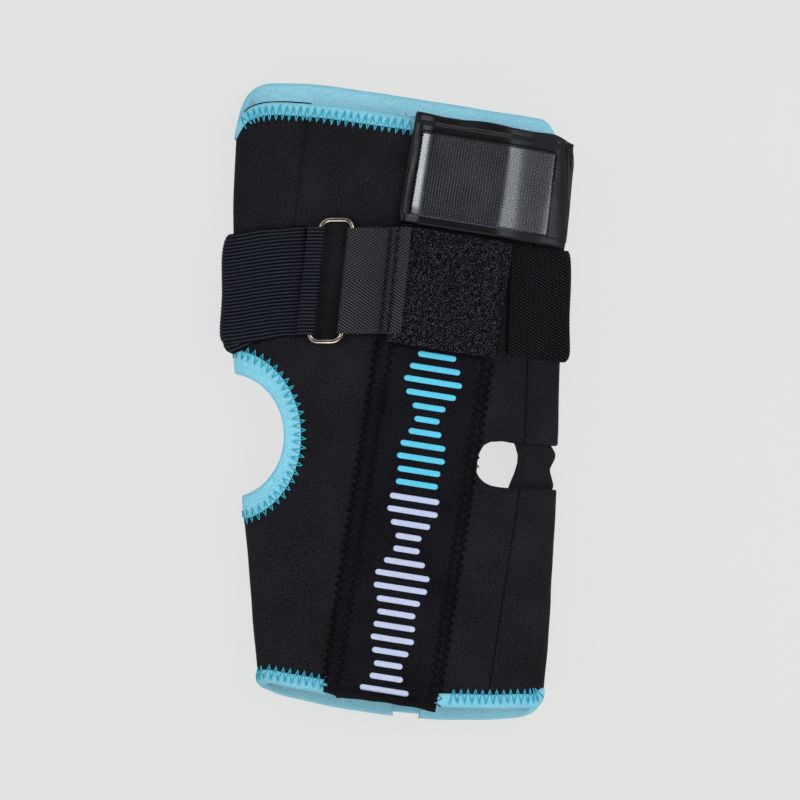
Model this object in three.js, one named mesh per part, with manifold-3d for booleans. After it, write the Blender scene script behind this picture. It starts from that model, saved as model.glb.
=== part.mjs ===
// Cold compression wrap for a leg joint: a padded neoprene sleeve with gel packs and a vibration unit.
// Millimetres, +Z up. The sleeve lies on its back, its top rim towards +Y, its left fold towards -X.
import * as THREE from "three";
import { mergeVertices } from "three/addons/utils/BufferGeometryUtils.js";
import Module from "manifold-3d";

const wasm = await Module();
wasm.setup();

// ---- Driving dimensions ----
const GAP = 0.6; // clearance between pieces that touch
const NEOPRENE = 5; // thickness of the padded panels
const CROWN = 46; // height of the sleeve's upper surface at its middle
const FOLD_HEIGHT = 17; // height of the side folds' widest line
const FOLD_RADIUS = 20; // how far in the flat back begins
const CROWN_POWER = 2.3; // 2 would make the upper surface an ellipse; more is flatter on top
const FOLD_TURN = 27; // degrees of section angle that the lower quarter of a fold takes
const EDGE_SPAN = 105; // half width of the sleeve at its middle
const BINDING = 9; // width of the teal tape at the rims

// The two side folds, as [y, x] from the bottom rim to the top rim.
const LEFT_EDGE = [[-215, -94], [-134, -98.5], [-60, -107], [26, -114], [111, -110.5], [215, -109]];
const RIGHT_EDGE = [[-215, 93], [-141, 99], [-60, 105], [25, 105], [102, 110], [215, 118]];

// The long pocket leans to the right, and its middle line crosses y = 0 at POCKET_X.
const LEAN = THREE.MathUtils.degToRad(9);
const POCKET_X = 17;
const POCKET_HALF = 38;
const POCKET_FLAT = 30; // half width of its raised part
const POCKET_BOTTOM = -203.5;
const POCKET_HEM = 4.5;
const POCKET_ROOM = 5.5; // from the crown to the underside of the pocket panel
const POCKET_CLOTH = 1.6;

// The window, in the pocket's own directions.
const WINDOW = { left: -36, right: 72, bottom: 116, top: 189, filmRight: 62, hem: 7.5, tape: 3.4 };
const WINDOW_ROOM = 10.2; // from the crown to the underside of the window mesh
const MESH = 1.0;
const FILM = 0.6;

// The strap.
const STRAP_HALF = 37;
const STRAP_IN = 0.8;
const STRAP_OUT = 3.0;
const TAB = { left: -34, right: 41.4, bottom: 33.5, top: 113, thick: 2.2 };
const TAB_FOOT = 4.5; // height of the tab's sewn end over the sleeve

// The metal loop.
const RING = { x: -46.9, y: 79.7, z: 48.7, wide: 25, long: 85, wire: 1.7, corner: 6 };
const RING_LEAN = THREE.MathUtils.degToRad(5.9);
const RING_TILT = THREE.MathUtils.degToRad(5);

// The cut-outs.
const ARCH = { x: -116, y: -23.5, wide: 37, tall: 39, bandWide: 49, bandTall: 56 };
const HOLE = { x: 64.7, y: -43.2, wide: 28, tall: 30, corner: 10 };
const SLOT = { bottom: -59, top: -30 };

// The vibration unit, measured from the crown up and along the pocket.
const PAD = { half: 28, bottom: -185, top: 112, low: 0.8, high: 4.4 };
const MOTOR = { radius: 10, low: 1.7, high: 4.3, places: [-150, -80, -10, 60] };
const CASE = { half: 26, bottom: 124, top: 182, low: 0.8, split: 6.4, high: 8.8, wall: 1.4 };

// The gel packs.
const PACK = { half: 40, bottom: -150, top: 165, thick: 8.2 };

// ---- Colours ----
const FINISH = {
  neoprene: { color: 0x201f23, roughness: 0.85, metalness: 0 },
  teal: { color: 0x6fb4c3, roughness: 0.75, metalness: 0 },
  pocket: { color: 0x232227, roughness: 0.8, metalness: 0 },
  mesh: { color: 0x1b1c20, roughness: 0.7, metalness: 0 },
  film: { color: 0x4c4f57, roughness: 0.1, metalness: 0 },
  elastic: { color: 0x0c0e13, roughness: 0.8, metalness: 0 },
  loop: { color: 0x1b1b1f, roughness: 0.95, metalness: 0 },
  metal: { color: 0xb9b2a6, roughness: 0.25, metalness: 1 },
  gel: { color: 0x3f8fc4, roughness: 0.35, metalness: 0 },
  plastic: { color: 0x26282c, roughness: 0.5, metalness: 0 },
  light: { color: 0x8fe6f2, roughness: 0.3, metalness: 0 },
};

// Brings the middle of the whole object's outline to x = 0 and y = 0.
const CENTRING = { x: 1.6, y: -0.6 };

const group = new THREE.Group();
group.position.set(CENTRING.x, CENTRING.y, 0);

function add(name, finish, geometry) {
  const mesh = new THREE.Mesh(geometry, new THREE.MeshStandardMaterial(FINISH[finish]));
  mesh.name = name;
  group.add(mesh);
}

// ---- Solids from grids ----
function signedVolume(points, faces) {
  let total = 0;
  for (const [a, b, c] of faces) {
    total += points[a].dot(points[b].clone().cross(points[c])) / 6;
  }
  return total;
}

function fromFaces(points, faces) {
  const outward = signedVolume(points, faces) > 0;
  const index = faces.flatMap(([a, b, c]) => (outward ? [a, b, c] : [a, c, b]));
  const geometry = new THREE.BufferGeometry();
  geometry.setAttribute("position", new THREE.Float32BufferAttribute(points.flatMap((p) => p.toArray()), 3));
  geometry.setIndex(index);
  geometry.computeVertexNormals();
  return geometry;
}

// A closed solid between two faces, each given as a function of grid column and row.
function gridSolid(columns, rows, outerFace, innerFace, ring = false) {
  const across = ring ? columns : columns + 1;
  const points = [];
  for (const face of [outerFace, innerFace]) {
    for (let row = 0; row <= rows; row++) {
      for (let column = 0; column < across; column++) {
        points.push(new THREE.Vector3(...face(column, row)));
      }
    }
  }
  const layer = across * (rows + 1);
  const at = (column, row, depth) => depth * layer + row * across + (column % across);
  const faces = [];
  const quad = (a, b, c, d) => faces.push([a, b, c], [a, c, d]);
  for (let row = 0; row < rows; row++) {
    for (let column = 0; column < columns; column++) {
      quad(at(column, row, 0), at(column, row + 1, 0), at(column + 1, row + 1, 0), at(column + 1, row, 0));
      quad(at(column, row, 1), at(column + 1, row, 1), at(column + 1, row + 1, 1), at(column, row + 1, 1));
    }
  }
  for (let column = 0; column < columns; column++) {
    quad(at(column, 0, 0), at(column + 1, 0, 0), at(column + 1, 0, 1), at(column, 0, 1));
    quad(at(column, rows, 0), at(column, rows, 1), at(column + 1, rows, 1), at(column + 1, rows, 0));
  }
  for (let row = 0; row < rows && !ring; row++) {
    quad(at(0, row, 0), at(0, row, 1), at(0, row + 1, 1), at(0, row + 1, 0));
    quad(at(columns, row, 0), at(columns, row + 1, 0), at(columns, row + 1, 1), at(columns, row, 1));
  }
  return fromFaces(points, faces);
}

// ---- Joining and cutting ----
function toSolid(geometry) {
  const plain = geometry.clone();
  plain.deleteAttribute("normal");
  plain.deleteAttribute("uv");
  const merged = mergeVertices(plain);
  return new wasm.Manifold(new wasm.Mesh({
    numProp: 3,
    vertProperties: new Float32Array(merged.attributes.position.array),
    triVerts: new Uint32Array(merged.index.array),
  }));
}

function toGeometry(solid) {
  const mesh = solid.getMesh();
  const geometry = new THREE.BufferGeometry();
  geometry.setAttribute("position", new THREE.BufferAttribute(mesh.vertProperties, 3));
  geometry.setIndex(new THREE.BufferAttribute(mesh.triVerts, 1));
  geometry.computeVertexNormals();
  return geometry;
}

function cut(geometry, ...tools) {
  let solid = toSolid(geometry);
  for (const tool of tools) {
    solid = solid.subtract(toSolid(tool));
  }
  return toGeometry(solid);
}

function common(geometry, tool) {
  return toGeometry(toSolid(geometry).intersect(toSolid(tool)));
}

// A straight post through both layers of the sleeve, with the given outline.
function post(shape, segments) {
  const geometry = new THREE.ExtrudeGeometry(shape, { depth: 200, bevelEnabled: false, curveSegments: segments });
  return geometry.translate(0, 0, -60);
}

function ellipsePost(centre, wide, tall) {
  const shape = new THREE.Shape();
  shape.absellipse(centre.x, centre.y, wide, tall, 0, Math.PI * 2);
  return post(shape, 32);
}

function roundedRect(x, y, wide, tall, corner) {
  const right = x + wide / 2 - corner;
  const left = x - wide / 2 + corner;
  const top = y + tall / 2 - corner;
  const bottom = y - tall / 2 + corner;
  const shape = new THREE.Shape();
  shape.absarc(right, bottom, corner, -Math.PI / 2, 0);
  shape.absarc(right, top, corner, 0, Math.PI / 2);
  shape.absarc(left, top, corner, Math.PI / 2, Math.PI);
  shape.absarc(left, bottom, corner, Math.PI, Math.PI * 1.5);
  return shape;
}

// ---- The sleeve's surface ----
function interpolate(table, at) {
  const last = table.length - 1;
  const value = THREE.MathUtils.clamp(at, table[0][0], table[last][0]);
  const step = Math.max(1, table.findIndex(([y]) => y >= value));
  const [y0, x0] = table[step - 1];
  const [y1, x1] = table[step];
  return THREE.MathUtils.mapLinear(value, y0, y1, x0, x1);
}

function widthAt(y) {
  const left = interpolate(LEFT_EDGE, y);
  const right = interpolate(RIGHT_EDGE, y);
  return { middle: (left + right) / 2, half: (right - left) / 2 };
}

// The back rises by the strap's thickness where the strap passes under it.
function backLift(y) {
  const upper = THREE.MathUtils.smoothstep(-y, -138, -120);
  const lower = THREE.MathUtils.smoothstep(y, -2, 16);
  return STRAP_OUT * Math.min(upper, lower);
}

// Section angle 0 is the right fold, 90 the crown, 180 the left fold and 270 the middle of the back.
function section(angle, y) {
  const { middle, half } = widthAt(y);
  const turn = THREE.MathUtils.euclideanModulo(angle, 360);
  if (turn <= 180) {
    const power = 2 / CROWN_POWER;
    const across = Math.cos(THREE.MathUtils.degToRad(turn));
    const up = Math.abs(Math.sin(THREE.MathUtils.degToRad(turn)));
    const x = middle + half * Math.sign(across) * Math.abs(across) ** power;
    return [x, FOLD_HEIGHT + (CROWN - FOLD_HEIGHT) * up ** power];
  }
  const side = turn < 270 ? -1 : 1;
  const fromFold = Math.min(turn - 180, 360 - turn);
  const flatHalf = half - FOLD_RADIUS;
  if (fromFold >= FOLD_TURN) {
    const inward = (fromFold - FOLD_TURN) / (90 - FOLD_TURN);
    return [middle + side * flatHalf * (1 - inward), backLift(y)];
  }
  const bend = (fromFold / FOLD_TURN) * (Math.PI / 2);
  const x = middle + side * (flatHalf + FOLD_RADIUS * Math.cos(bend));
  return [x, FOLD_HEIGHT - (FOLD_HEIGHT - backLift(y)) * Math.sin(bend)];
}

// A point of the sleeve at a section angle and a y, moved outward by depth.
function surfacePoint(angle, y, depth) {
  const step = 1.5;
  const [x, z] = section(angle, y);
  const [x0, z0] = section(angle - step, y);
  const [x1, z1] = section(angle + step, y);
  const length = Math.hypot(x1 - x0, z1 - z0);
  return [x + (depth * (z1 - z0)) / length, y, z - (depth * (x1 - x0)) / length];
}

// The rims: the back layer reaches further than the upper layer, and the corners are rounded.
function rims(angle) {
  const [x, z] = section(angle, 0);
  const across = THREE.MathUtils.clamp(x / EDGE_SPAN, -1, 1);
  const facing = z > FOLD_HEIGHT ? (z - FOLD_HEIGHT) / (CROWN - FOLD_HEIGHT) : z / FOLD_HEIGHT - 1;
  const leftCorner = across < 0 ? 27 * across ** 14 : 0;
  const rightCorner = across > 0 ? 12 * across ** 14 : 0;
  const top = 197 - 17.5 * across - 6.5 * facing - leftCorner;
  const bottom = -210 + 8.5 * (across - 0.48) ** 2 + 5 * facing + rightCorner;
  return { top, bottom };
}

// The section angle of a point on the upper surface.
function angleAt(x, y) {
  const { middle, half } = widthAt(y);
  const across = THREE.MathUtils.clamp((x - middle) / half, -1, 1);
  const cosine = Math.sign(across) * Math.abs(across) ** (CROWN_POWER / 2);
  return THREE.MathUtils.radToDeg(Math.acos(cosine));
}

function crownHeight(x, y) {
  const { middle, half } = widthAt(y);
  const across = Math.min(0.985, Math.abs(x - middle) / half);
  return FOLD_HEIGHT + (CROWN - FOLD_HEIGHT) * (1 - across ** CROWN_POWER) ** (1 / CROWN_POWER);
}

// A piece of the sleeve between two section angles (functions of y) and two y limits (functions of the angle).
function shell({ from, to, bottom, top, inner = -NEOPRENE, outer = 0, columns, rows, ring = false }) {
  const face = (depth) => (column, row) => {
    const share = row / rows;
    const middleY = THREE.MathUtils.lerp(bottom(90), top(90), share);
    const angle = THREE.MathUtils.lerp(from(middleY), to(middleY), column / columns);
    const y = THREE.MathUtils.lerp(bottom(angle), top(angle), share);
    const out = typeof depth === "function" ? depth(angle) : depth;
    return surfacePoint(angle, y, out);
  };
  return gridSolid(columns, rows, face(outer), face(inner), ring);
}

// ---- The pocket's own directions ----
function fromPocket(x, y) {
  const worldX = POCKET_X + x * Math.cos(LEAN) + y * Math.sin(LEAN);
  return [worldX, y * Math.cos(LEAN) - x * Math.sin(LEAN)];
}

function crownInPocket(x, y) {
  return crownHeight(...fromPocket(x, y));
}

// A sheet over the pocket: column lines at xs, row lines at ys, and two heights at each crossing.
function sheetSolid(xs, ys, high, low) {
  const face = (height) => (column, row) => {
    const [x, y] = [xs[column], ys[row]];
    return [...fromPocket(x, y), height(x, y)];
  };
  return gridSolid(xs.length - 1, ys.length - 1, face(high), face(low));
}

function steps(first, last, count) {
  return Array.from({ length: count + 1 }, (_, index) => THREE.MathUtils.lerp(first, last, index / count));
}

// An upright block in the pocket's directions, from low to high over the crown.
function pocketBlock(shape, low, high) {
  const geometry = new THREE.ExtrudeGeometry(shape, { depth: high - low, bevelEnabled: false, curveSegments: 6 });
  geometry.rotateZ(-LEAN);
  return geometry.translate(POCKET_X, 0, CROWN + low);
}

function disc(x, y, radius) {
  const shape = new THREE.Shape();
  shape.absarc(x, y, radius, 0, Math.PI * 2);
  return shape;
}

// ---- Neoprene panels ----
const RIM_GAP = BINDING + GAP;
const cornerShare = (angle) => (section(angle, 0)[0] / EDGE_SPAN) ** 14;
const panelTop = (angle) => rims(angle).top - RIM_GAP - 4 * cornerShare(angle);
const panelBottom = (angle) => rims(angle).bottom + RIM_GAP + 3 * cornerShare(angle);

function leftSeam(y) {
  return angleAt(fromPocket(-POCKET_FLAT, y)[0], y);
}

function rightSeam(y) {
  const slot = (SLOT.top + SLOT.bottom) / 2;
  const slope = y > slot ? 0.045 : 0.155;
  return angleAt(81.5 + slope * (y - slot), y);
}

const SEAM = 0.7; // half a seam's opening, in degrees of section angle
const BACK_LEFT = 234;
const BACK_RIGHT = 318;

function panels() {
  const archOpening = ellipsePost(ARCH, ARCH.bandWide + GAP, ARCH.bandTall + GAP);
  const holeOpening = post(roundedRect(HOLE.x, HOLE.y, HOLE.wide, HOLE.tall, HOLE.corner), 5);
  const whole = { bottom: panelBottom, top: panelTop, rows: 18 };
  const left = shell({ ...whole, from: (y) => leftSeam(y) + SEAM, to: () => BACK_LEFT - SEAM, columns: 12 });
  const front = shell({ ...whole, from: (y) => rightSeam(y) + SEAM, to: (y) => leftSeam(y) - SEAM, columns: 6 });
  const back = shell({ ...whole, from: () => BACK_LEFT + SEAM, to: () => BACK_RIGHT - SEAM, columns: 3 });
  add("left_panel", "neoprene", cut(left, archOpening));
  add("front_panel", "neoprene", cut(front, holeOpening));
  add("back_panel", "neoprene", cut(back, holeOpening));
  const side = { from: () => BACK_RIGHT - 360 + SEAM, to: (y) => rightSeam(y) - SEAM, columns: 10 };
  const upper = shell({ ...side, bottom: () => SLOT.top, top: panelTop, rows: 10 });
  const lower = shell({ ...side, bottom: panelBottom, top: () => SLOT.bottom, rows: 5 });
  add("right_upper_panel", "neoprene", upper);
  add("right_lower_panel", "neoprene", lower);
}

function bridgeStrip() {
  const start = angleAt(HOLE.x + HOLE.wide / 2 + 10, HOLE.y);
  const strip = shell({
    from: () => -22, to: () => start, bottom: () => SLOT.bottom - 6, top: () => SLOT.top + 6,
    inner: -NEOPRENE - 3, outer: -NEOPRENE - GAP, columns: 8, rows: 2,
  });
  add("bridge_strip", "neoprene", strip);
}

// ---- Teal bindings ----
function bindings() {
  const topRing = shell({
    from: () => 0, to: () => 360, bottom: (angle) => rims(angle).top - BINDING, top: (angle) => rims(angle).top,
    columns: 40, rows: 1, ring: true,
  });
  add("top_binding", "teal", topRing);
  const bottomRim = { bottom: (angle) => rims(angle).bottom, top: (angle) => rims(angle).bottom + BINDING, rows: 1 };
  const left = shell({ ...bottomRim, from: () => 95, to: () => 264, columns: 16 });
  const right = shell({ ...bottomRim, from: () => -79, to: () => 80, columns: 16 });
  add("bottom_binding_left", "teal", left);
  add("bottom_binding_right", "teal", right);
  const side = shell({
    bottom: () => ARCH.y - ARCH.bandTall - 8, top: () => ARCH.y + ARCH.bandTall + 8,
    from: () => 112, to: () => BACK_LEFT - 2, columns: 10, rows: 6,
  });
  const band = common(side, ellipsePost(ARCH, ARCH.bandWide, ARCH.bandTall));
  add("arch_binding", "teal", cut(band, ellipsePost(ARCH, ARCH.wide, ARCH.tall)));
}

// ---- Long pocket ----
const POCKET_LINES = [-POCKET_HALF, -34, -POCKET_FLAT, 0, POCKET_FLAT, 34, POCKET_HALF];

function pocketUnderside(x, y) {
  const flat = CROWN + POCKET_ROOM;
  const edge = crownInPocket(x, y) + GAP;
  const share = THREE.MathUtils.mapLinear(Math.abs(x), POCKET_FLAT, POCKET_HALF, 0, 1);
  return THREE.MathUtils.lerp(flat, edge, THREE.MathUtils.clamp(share, 0, 1));
}

function longPocket() {
  const outside = (x, y) => pocketUnderside(x, y) + POCKET_CLOTH;
  const hemTop = POCKET_BOTTOM + POCKET_HEM;
  const panelRows = steps(hemTop + GAP, WINDOW.bottom - GAP, 10);
  add("pocket_panel", "pocket", sheetSolid(POCKET_LINES, panelRows, outside, pocketUnderside));
  const onSleeve = (x, y) => crownInPocket(x, y) + GAP * 0.7;
  add("pocket_hem", "pocket", sheetSolid(POCKET_LINES, [POCKET_BOTTOM, hemTop], outside, onSleeve));
}

// ---- Window pocket ----
const WINDOW_LINES = [WINDOW.left, -30, 0, 28, 36, 45, 54, WINDOW.filmRight, 67, WINDOW.right];

function windowUnderside(x, y) {
  const flat = CROWN + WINDOW_ROOM;
  const edge = crownInPocket(x, y) + 1.2;
  if (x < 0) {
    return x <= WINDOW.left + 2 ? edge : flat;
  }
  const share = THREE.MathUtils.smoothstep(x, 28, 58);
  return THREE.MathUtils.lerp(flat, edge, share);
}

function windowSheet(name, finish, left, right, bottom, top, low, thick) {
  const inside = WINDOW_LINES.filter((x) => x > left + 0.5 && x < right - 0.5);
  const lines = [left, ...inside, right];
  const under = (x, y) => windowUnderside(x, y) + low;
  const over = (x, y) => under(x, y) + thick;
  add(name, finish, sheetSolid(lines, steps(bottom, top, 4), over, under));
}

function windowPocket() {
  const { left, right, bottom, top, filmRight, hem, tape } = WINDOW;
  const above = MESH + 0.5;
  windowSheet("window_mesh", "mesh", left, right, bottom, top, 0, MESH);
  windowSheet("window_film", "film", left, filmRight, bottom + tape + GAP, top - hem - GAP, above, FILM);
  windowSheet("window_top_hem", "mesh", left, right, top - hem, top, above, 1.6);
  windowSheet("window_bottom_tape", "mesh", left, right, bottom, bottom + tape, above, 1.2);
  windowSheet("window_side_tape", "mesh", filmRight + GAP, right, bottom + tape + GAP, top - hem - GAP, above, 1.2);
}

// ---- Strap ----
// The strap's middle line, in y: it climbs towards the metal loop and drops towards the right fold.
function strapMiddle(angle) {
  const [x, z] = section(angle, 70);
  if (z < FOLD_HEIGHT) {
    return THREE.MathUtils.mapLinear(x, -112, 108, 73.7, 62.8);
  }
  return x < 0 ? 73.7 + 0.105 * (x + 112) : 62.8 - 0.135 * (x - 108);
}

// It stands off the sleeve at the folds, more at the left one.
function strapBulge(angle) {
  const turn = THREE.MathUtils.euclideanModulo(angle, 360);
  const left = Math.exp(-(((turn - 174) / 13) ** 2));
  const right = Math.exp(-(((THREE.MathUtils.euclideanModulo(angle + 180, 360) - 186) / 13) ** 2));
  return 5 * left + 2.6 * right;
}

function strapShell(from, to, columns) {
  return shell({
    from: () => from, to: () => to, columns, rows: 2,
    bottom: (angle) => strapMiddle(angle) - STRAP_HALF, top: (angle) => strapMiddle(angle) + STRAP_HALF,
    inner: (angle) => STRAP_IN + strapBulge(angle), outer: (angle) => STRAP_OUT + strapBulge(angle),
  });
}

function straps() {
  const ringStart = angleAt(RING.x - RING.wide / 2 - 10, RING.y);
  const tabStart = angleAt(fromPocket(TAB.right + 6, TAB.bottom)[0] + 8, 70);
  add("strap_left", "elastic", strapShell(ringStart, 268, 20));
  add("strap_right", "elastic", strapShell(-88, tabStart, 20));
}

// ---- Closing tab ----
function closingTab() {
  const coverTop = POCKET_ROOM + POCKET_CLOTH;
  const rows = [TAB.bottom, TAB.top];
  const level = (offset) => () => CROWN + coverTop + offset;
  add("loop_base", "loop", sheetSolid([-31, 31], rows, level(1.7), level(0.5)));
  add("hook_pad", "loop", sheetSolid([-30, 30], [rows[0] + 3, rows[1] - 3], level(3.3), level(2.1)));
  const under = (x, y) => {
    const flat = CROWN + coverTop + 3.7;
    const foot = crownInPocket(x, y) + TAB_FOOT;
    return x > 0 ? THREE.MathUtils.lerp(flat, foot, THREE.MathUtils.smoothstep(x, 30, TAB.right)) : flat;
  };
  const over = (x, y) => under(x, y) + TAB.thick;
  const lines = [TAB.left, 0, 30, 33, 36, 39, TAB.right];
  add("closing_tab", "loop", sheetSolid(lines, steps(rows[0], rows[1], 4), over, under));
}

// ---- Metal loop and what holds it ----
function placeOnRing(geometry) {
  geometry.rotateY(-RING_TILT);
  geometry.rotateZ(-RING_LEAN);
  return geometry.translate(RING.x, RING.y, RING.z);
}

function metalLoop() {
  const { wide, long, wire, corner } = RING;
  const path = roundedRect(0, 0, wide - 2 * wire, long - 2 * wire, corner).getPoints(4);
  const corners = path.filter((point, index) => index === 0 || point.distanceTo(path[index - 1]) > 0.01);
  const count = corners.length - (corners[0].distanceTo(corners[corners.length - 1]) < 0.01 ? 1 : 0);
  const sides = 8;
  const points = [];
  const faces = [];
  for (let index = 0; index < count; index++) {
    const here = corners[index];
    const before = corners[(index + count - 1) % count];
    const after = corners[(index + 1) % count];
    const along = after.clone().sub(before).normalize();
    for (let side = 0; side < sides; side++) {
      const turn = (side / sides) * Math.PI * 2;
      const out = wire * Math.cos(turn);
      points.push(new THREE.Vector3(here.x + along.y * out, here.y - along.x * out, wire * Math.sin(turn)));
      const next = ((index + 1) % count) * sides;
      const [a, b] = [index * sides + side, index * sides + ((side + 1) % sides)];
      const [c, d] = [next + ((side + 1) % sides), next + side];
      faces.push([a, b, c], [a, c, d]);
    }
  }
  add("strap_ring", "metal", placeOnRing(fromFaces(points, faces)));
}

// Webbing or elastic folded round one bar: an eye with a tail, as wide as the strap.
function barFold(tail, tailThick, width) {
  const eye = RING.wire + 2;
  const half = tailThick / 2;
  const away = Math.sign(tail);
  const open = Math.asin(half / eye);
  const shape = new THREE.Shape();
  const first = away > 0 ? open : Math.PI + open;
  shape.absarc(0, 0, eye, first, first + 2 * Math.PI - 2 * open);
  shape.lineTo(tail, -half * away);
  shape.lineTo(tail, half * away);
  const hole = new THREE.Path();
  hole.absarc(0, 0, RING.wire + 0.45, 0, Math.PI * 2, true);
  shape.holes.push(hole);
  const solid = new THREE.ExtrudeGeometry(shape, { depth: width, bevelEnabled: false, curveSegments: 9 });
  solid.rotateX(Math.PI / 2);
  return solid.translate(0, width / 2, 0);
}

function barFolds() {
  const bar = RING.wide / 2 - RING.wire;
  add("ring_loop", "elastic", placeOnRing(barFold(-9, 2.2, 68).translate(-bar, 0, 0)));
  add("webbing_tab", "elastic", placeOnRing(barFold(21, 2.6, 68).translate(bar, 0, 0)));
}

// ---- Cold packs ----
function coldPack(bottom) {
  const { half, top, thick } = PACK;
  const edge = 2;
  const shape = roundedRect(0, (PACK.bottom + top) / 2, 2 * half - 2 * edge, top - PACK.bottom, 10);
  const bevel = { bevelEnabled: true, bevelThickness: edge, bevelSize: edge, bevelSegments: 2 };
  const solid = new THREE.ExtrudeGeometry(shape, { depth: thick - 2 * edge, curveSegments: 4, ...bevel });
  return solid.translate(0, 0, bottom + edge);
}

function lining(bottom) {
  const shape = roundedRect(0, 2, 2 * PACK.half + 12, 336, 12);
  const solid = new THREE.ExtrudeGeometry(shape, { depth: 1.2, bevelEnabled: false, curveSegments: 4 });
  return solid.translate(0, 0, bottom);
}

function coldPacks() {
  const backPack = STRAP_OUT + NEOPRENE + GAP;
  const backLining = backPack + PACK.thick + GAP;
  const frontPack = CROWN - NEOPRENE - 2.6 - PACK.thick;
  add("cold_pack_back", "gel", coldPack(backPack));
  add("inner_pocket_back", "teal", lining(backLining));
  add("inner_pocket_front", "teal", lining(frontPack - GAP - 1.2));
  add("cold_pack_front", "gel", coldPack(frontPack));
}

// ---- Vibration unit ----
function vibrationPad() {
  const middle = (PAD.bottom + PAD.top) / 2;
  const slab = pocketBlock(roundedRect(0, middle, 2 * PAD.half, PAD.top - PAD.bottom, 12), PAD.low, PAD.high);
  const seat = MOTOR.low - 0.3;
  const seats = MOTOR.places.map((y) => pocketBlock(disc(0, y, MOTOR.radius + 0.5), seat, PAD.high + 1));
  add("vibration_pad", "plastic", cut(slab, ...seats));
  MOTOR.places.forEach((y, index) => {
    add(`vibration_motor_${index + 1}`, "metal", pocketBlock(disc(0, y, MOTOR.radius), MOTOR.low, MOTOR.high));
  });
  const cableBottom = MOTOR.places[0] - 8;
  const cableTop = CASE.bottom - 0.4;
  const cable = roundedRect(0, (cableBottom + cableTop) / 2, 8, cableTop - cableBottom, 2);
  add("motor_cable", "plastic", pocketBlock(cable, PAD.high + 0.3, PAD.high + 0.8));
}

function controller() {
  const { half, bottom, top, low, split, high, wall } = CASE;
  const middle = (bottom + top) / 2;
  const long = top - bottom;
  const outline = roundedRect(0, middle, 2 * half, long, 8);
  const inside = roundedRect(0, middle, 2 * (half - wall), long - 2 * wall, 6.4);
  const buttonY = middle + 6;
  const lightY = middle - 14;
  add("controller_base", "plastic", cut(pocketBlock(outline, low, split), pocketBlock(inside, low + wall, split + 1)));
  const buttonHole = pocketBlock(disc(0, buttonY, 6.8), split, high + 1);
  const lightHole = pocketBlock(disc(0, lightY, 1.9), split, high + 1);
  add("controller_cover", "plastic", cut(pocketBlock(outline, split + 0.3, high), buttonHole, lightHole));
  const floor = low + wall + 0.3;
  add("battery", "metal", pocketBlock(roundedRect(0, middle, 34, 44, 2), floor, floor + 2.8));
  add("circuit_board", "plastic", pocketBlock(roundedRect(0, middle, 44, 50, 2), floor + 3.1, floor + 3.7));
  add("power_button", "plastic", pocketBlock(disc(0, buttonY, 6.3), high - 1.9, high + 0.3));
  add("status_light", "light", pocketBlock(disc(0, lightY, 1.5), high - 2.4, high + 0.2));
}

panels();
bridgeStrip();
bindings();
longPocket();
windowPocket();
straps();
closingTab();
metalLoop();
barFolds();
coldPacks();
vibrationPad();
controller();

export default group;
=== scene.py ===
import math
from functools import partial

import bmesh
import bpy
import numpy as np
from mathutils import Matrix, Vector
from mathutils.geometry import delaunay_2d_cdt


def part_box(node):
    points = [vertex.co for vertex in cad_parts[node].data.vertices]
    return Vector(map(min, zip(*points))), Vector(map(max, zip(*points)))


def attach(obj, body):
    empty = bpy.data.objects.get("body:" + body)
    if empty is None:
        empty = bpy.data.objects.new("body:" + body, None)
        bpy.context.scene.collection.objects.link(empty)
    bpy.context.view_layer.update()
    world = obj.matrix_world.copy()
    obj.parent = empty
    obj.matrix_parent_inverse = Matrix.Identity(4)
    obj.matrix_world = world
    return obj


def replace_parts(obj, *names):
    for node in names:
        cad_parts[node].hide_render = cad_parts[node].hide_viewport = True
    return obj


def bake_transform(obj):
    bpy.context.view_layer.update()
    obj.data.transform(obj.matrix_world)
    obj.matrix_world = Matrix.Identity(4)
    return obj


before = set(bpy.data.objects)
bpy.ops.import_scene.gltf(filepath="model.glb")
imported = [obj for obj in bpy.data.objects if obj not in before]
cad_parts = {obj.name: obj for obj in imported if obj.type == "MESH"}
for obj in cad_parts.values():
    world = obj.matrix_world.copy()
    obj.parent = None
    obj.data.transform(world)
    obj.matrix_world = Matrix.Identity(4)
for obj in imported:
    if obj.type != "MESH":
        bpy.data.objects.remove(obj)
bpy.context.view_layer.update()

# ---- Driving sizes, in millimetres ----
MM = 0.001
NEOPRENE = 5.0
FOLD_HEIGHT = 17.0
FOLD_RADIUS = 20.0
FOLD_TURN = 27.0
CROWN_POWER = 2.3
EDGE_SPAN = 105.0
MESH_COLUMN, MESH_ROW = 1.9, 1.4
CENTRING = np.array([1.6, -0.6])
LEAN = math.radians(9)
POCKET_X = 17.0
STITCH_PITCH = 4.9
RIB_PITCH = 2.35
BAND_UV = 30
PANEL_INSET = 3
LEFT_EDGE = [(-215, -94), (-134, -98.5), (-60, -107), (26, -114), (111, -110.5), (215, -109)]
RIGHT_EDGE = [(-215, 93), (-141, 99), (-60, 105), (25, 105), (102, 110), (215, 118)]
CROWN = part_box("front_panel")[1][2] / MM
STRAP_OUT = 3.0


# ---- Shape of the sleeve ----
def smooth(value, low, high):
    share = np.clip((np.asarray(value, float) - low) / (high - low), 0, 1)
    return share * share * (3 - 2 * share)


def edge_curve(table):
    y, x = np.array(table, float).T
    return np.polyfit(y / 200, x, 3)


LEFT_FIT = edge_curve(LEFT_EDGE)
RIGHT_FIT = edge_curve(RIGHT_EDGE)


def widths(y):
    left = np.polyval(LEFT_FIT, y / 200)
    right = np.polyval(RIGHT_FIT, y / 200)
    return (left + right) / 2, (right - left) / 2


def back_lift(y):
    """How far the underside is held off the floor by the straps below it."""
    return STRAP_OUT * np.minimum(smooth(-y, -138, -120), smooth(y, -2, 16))


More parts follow.
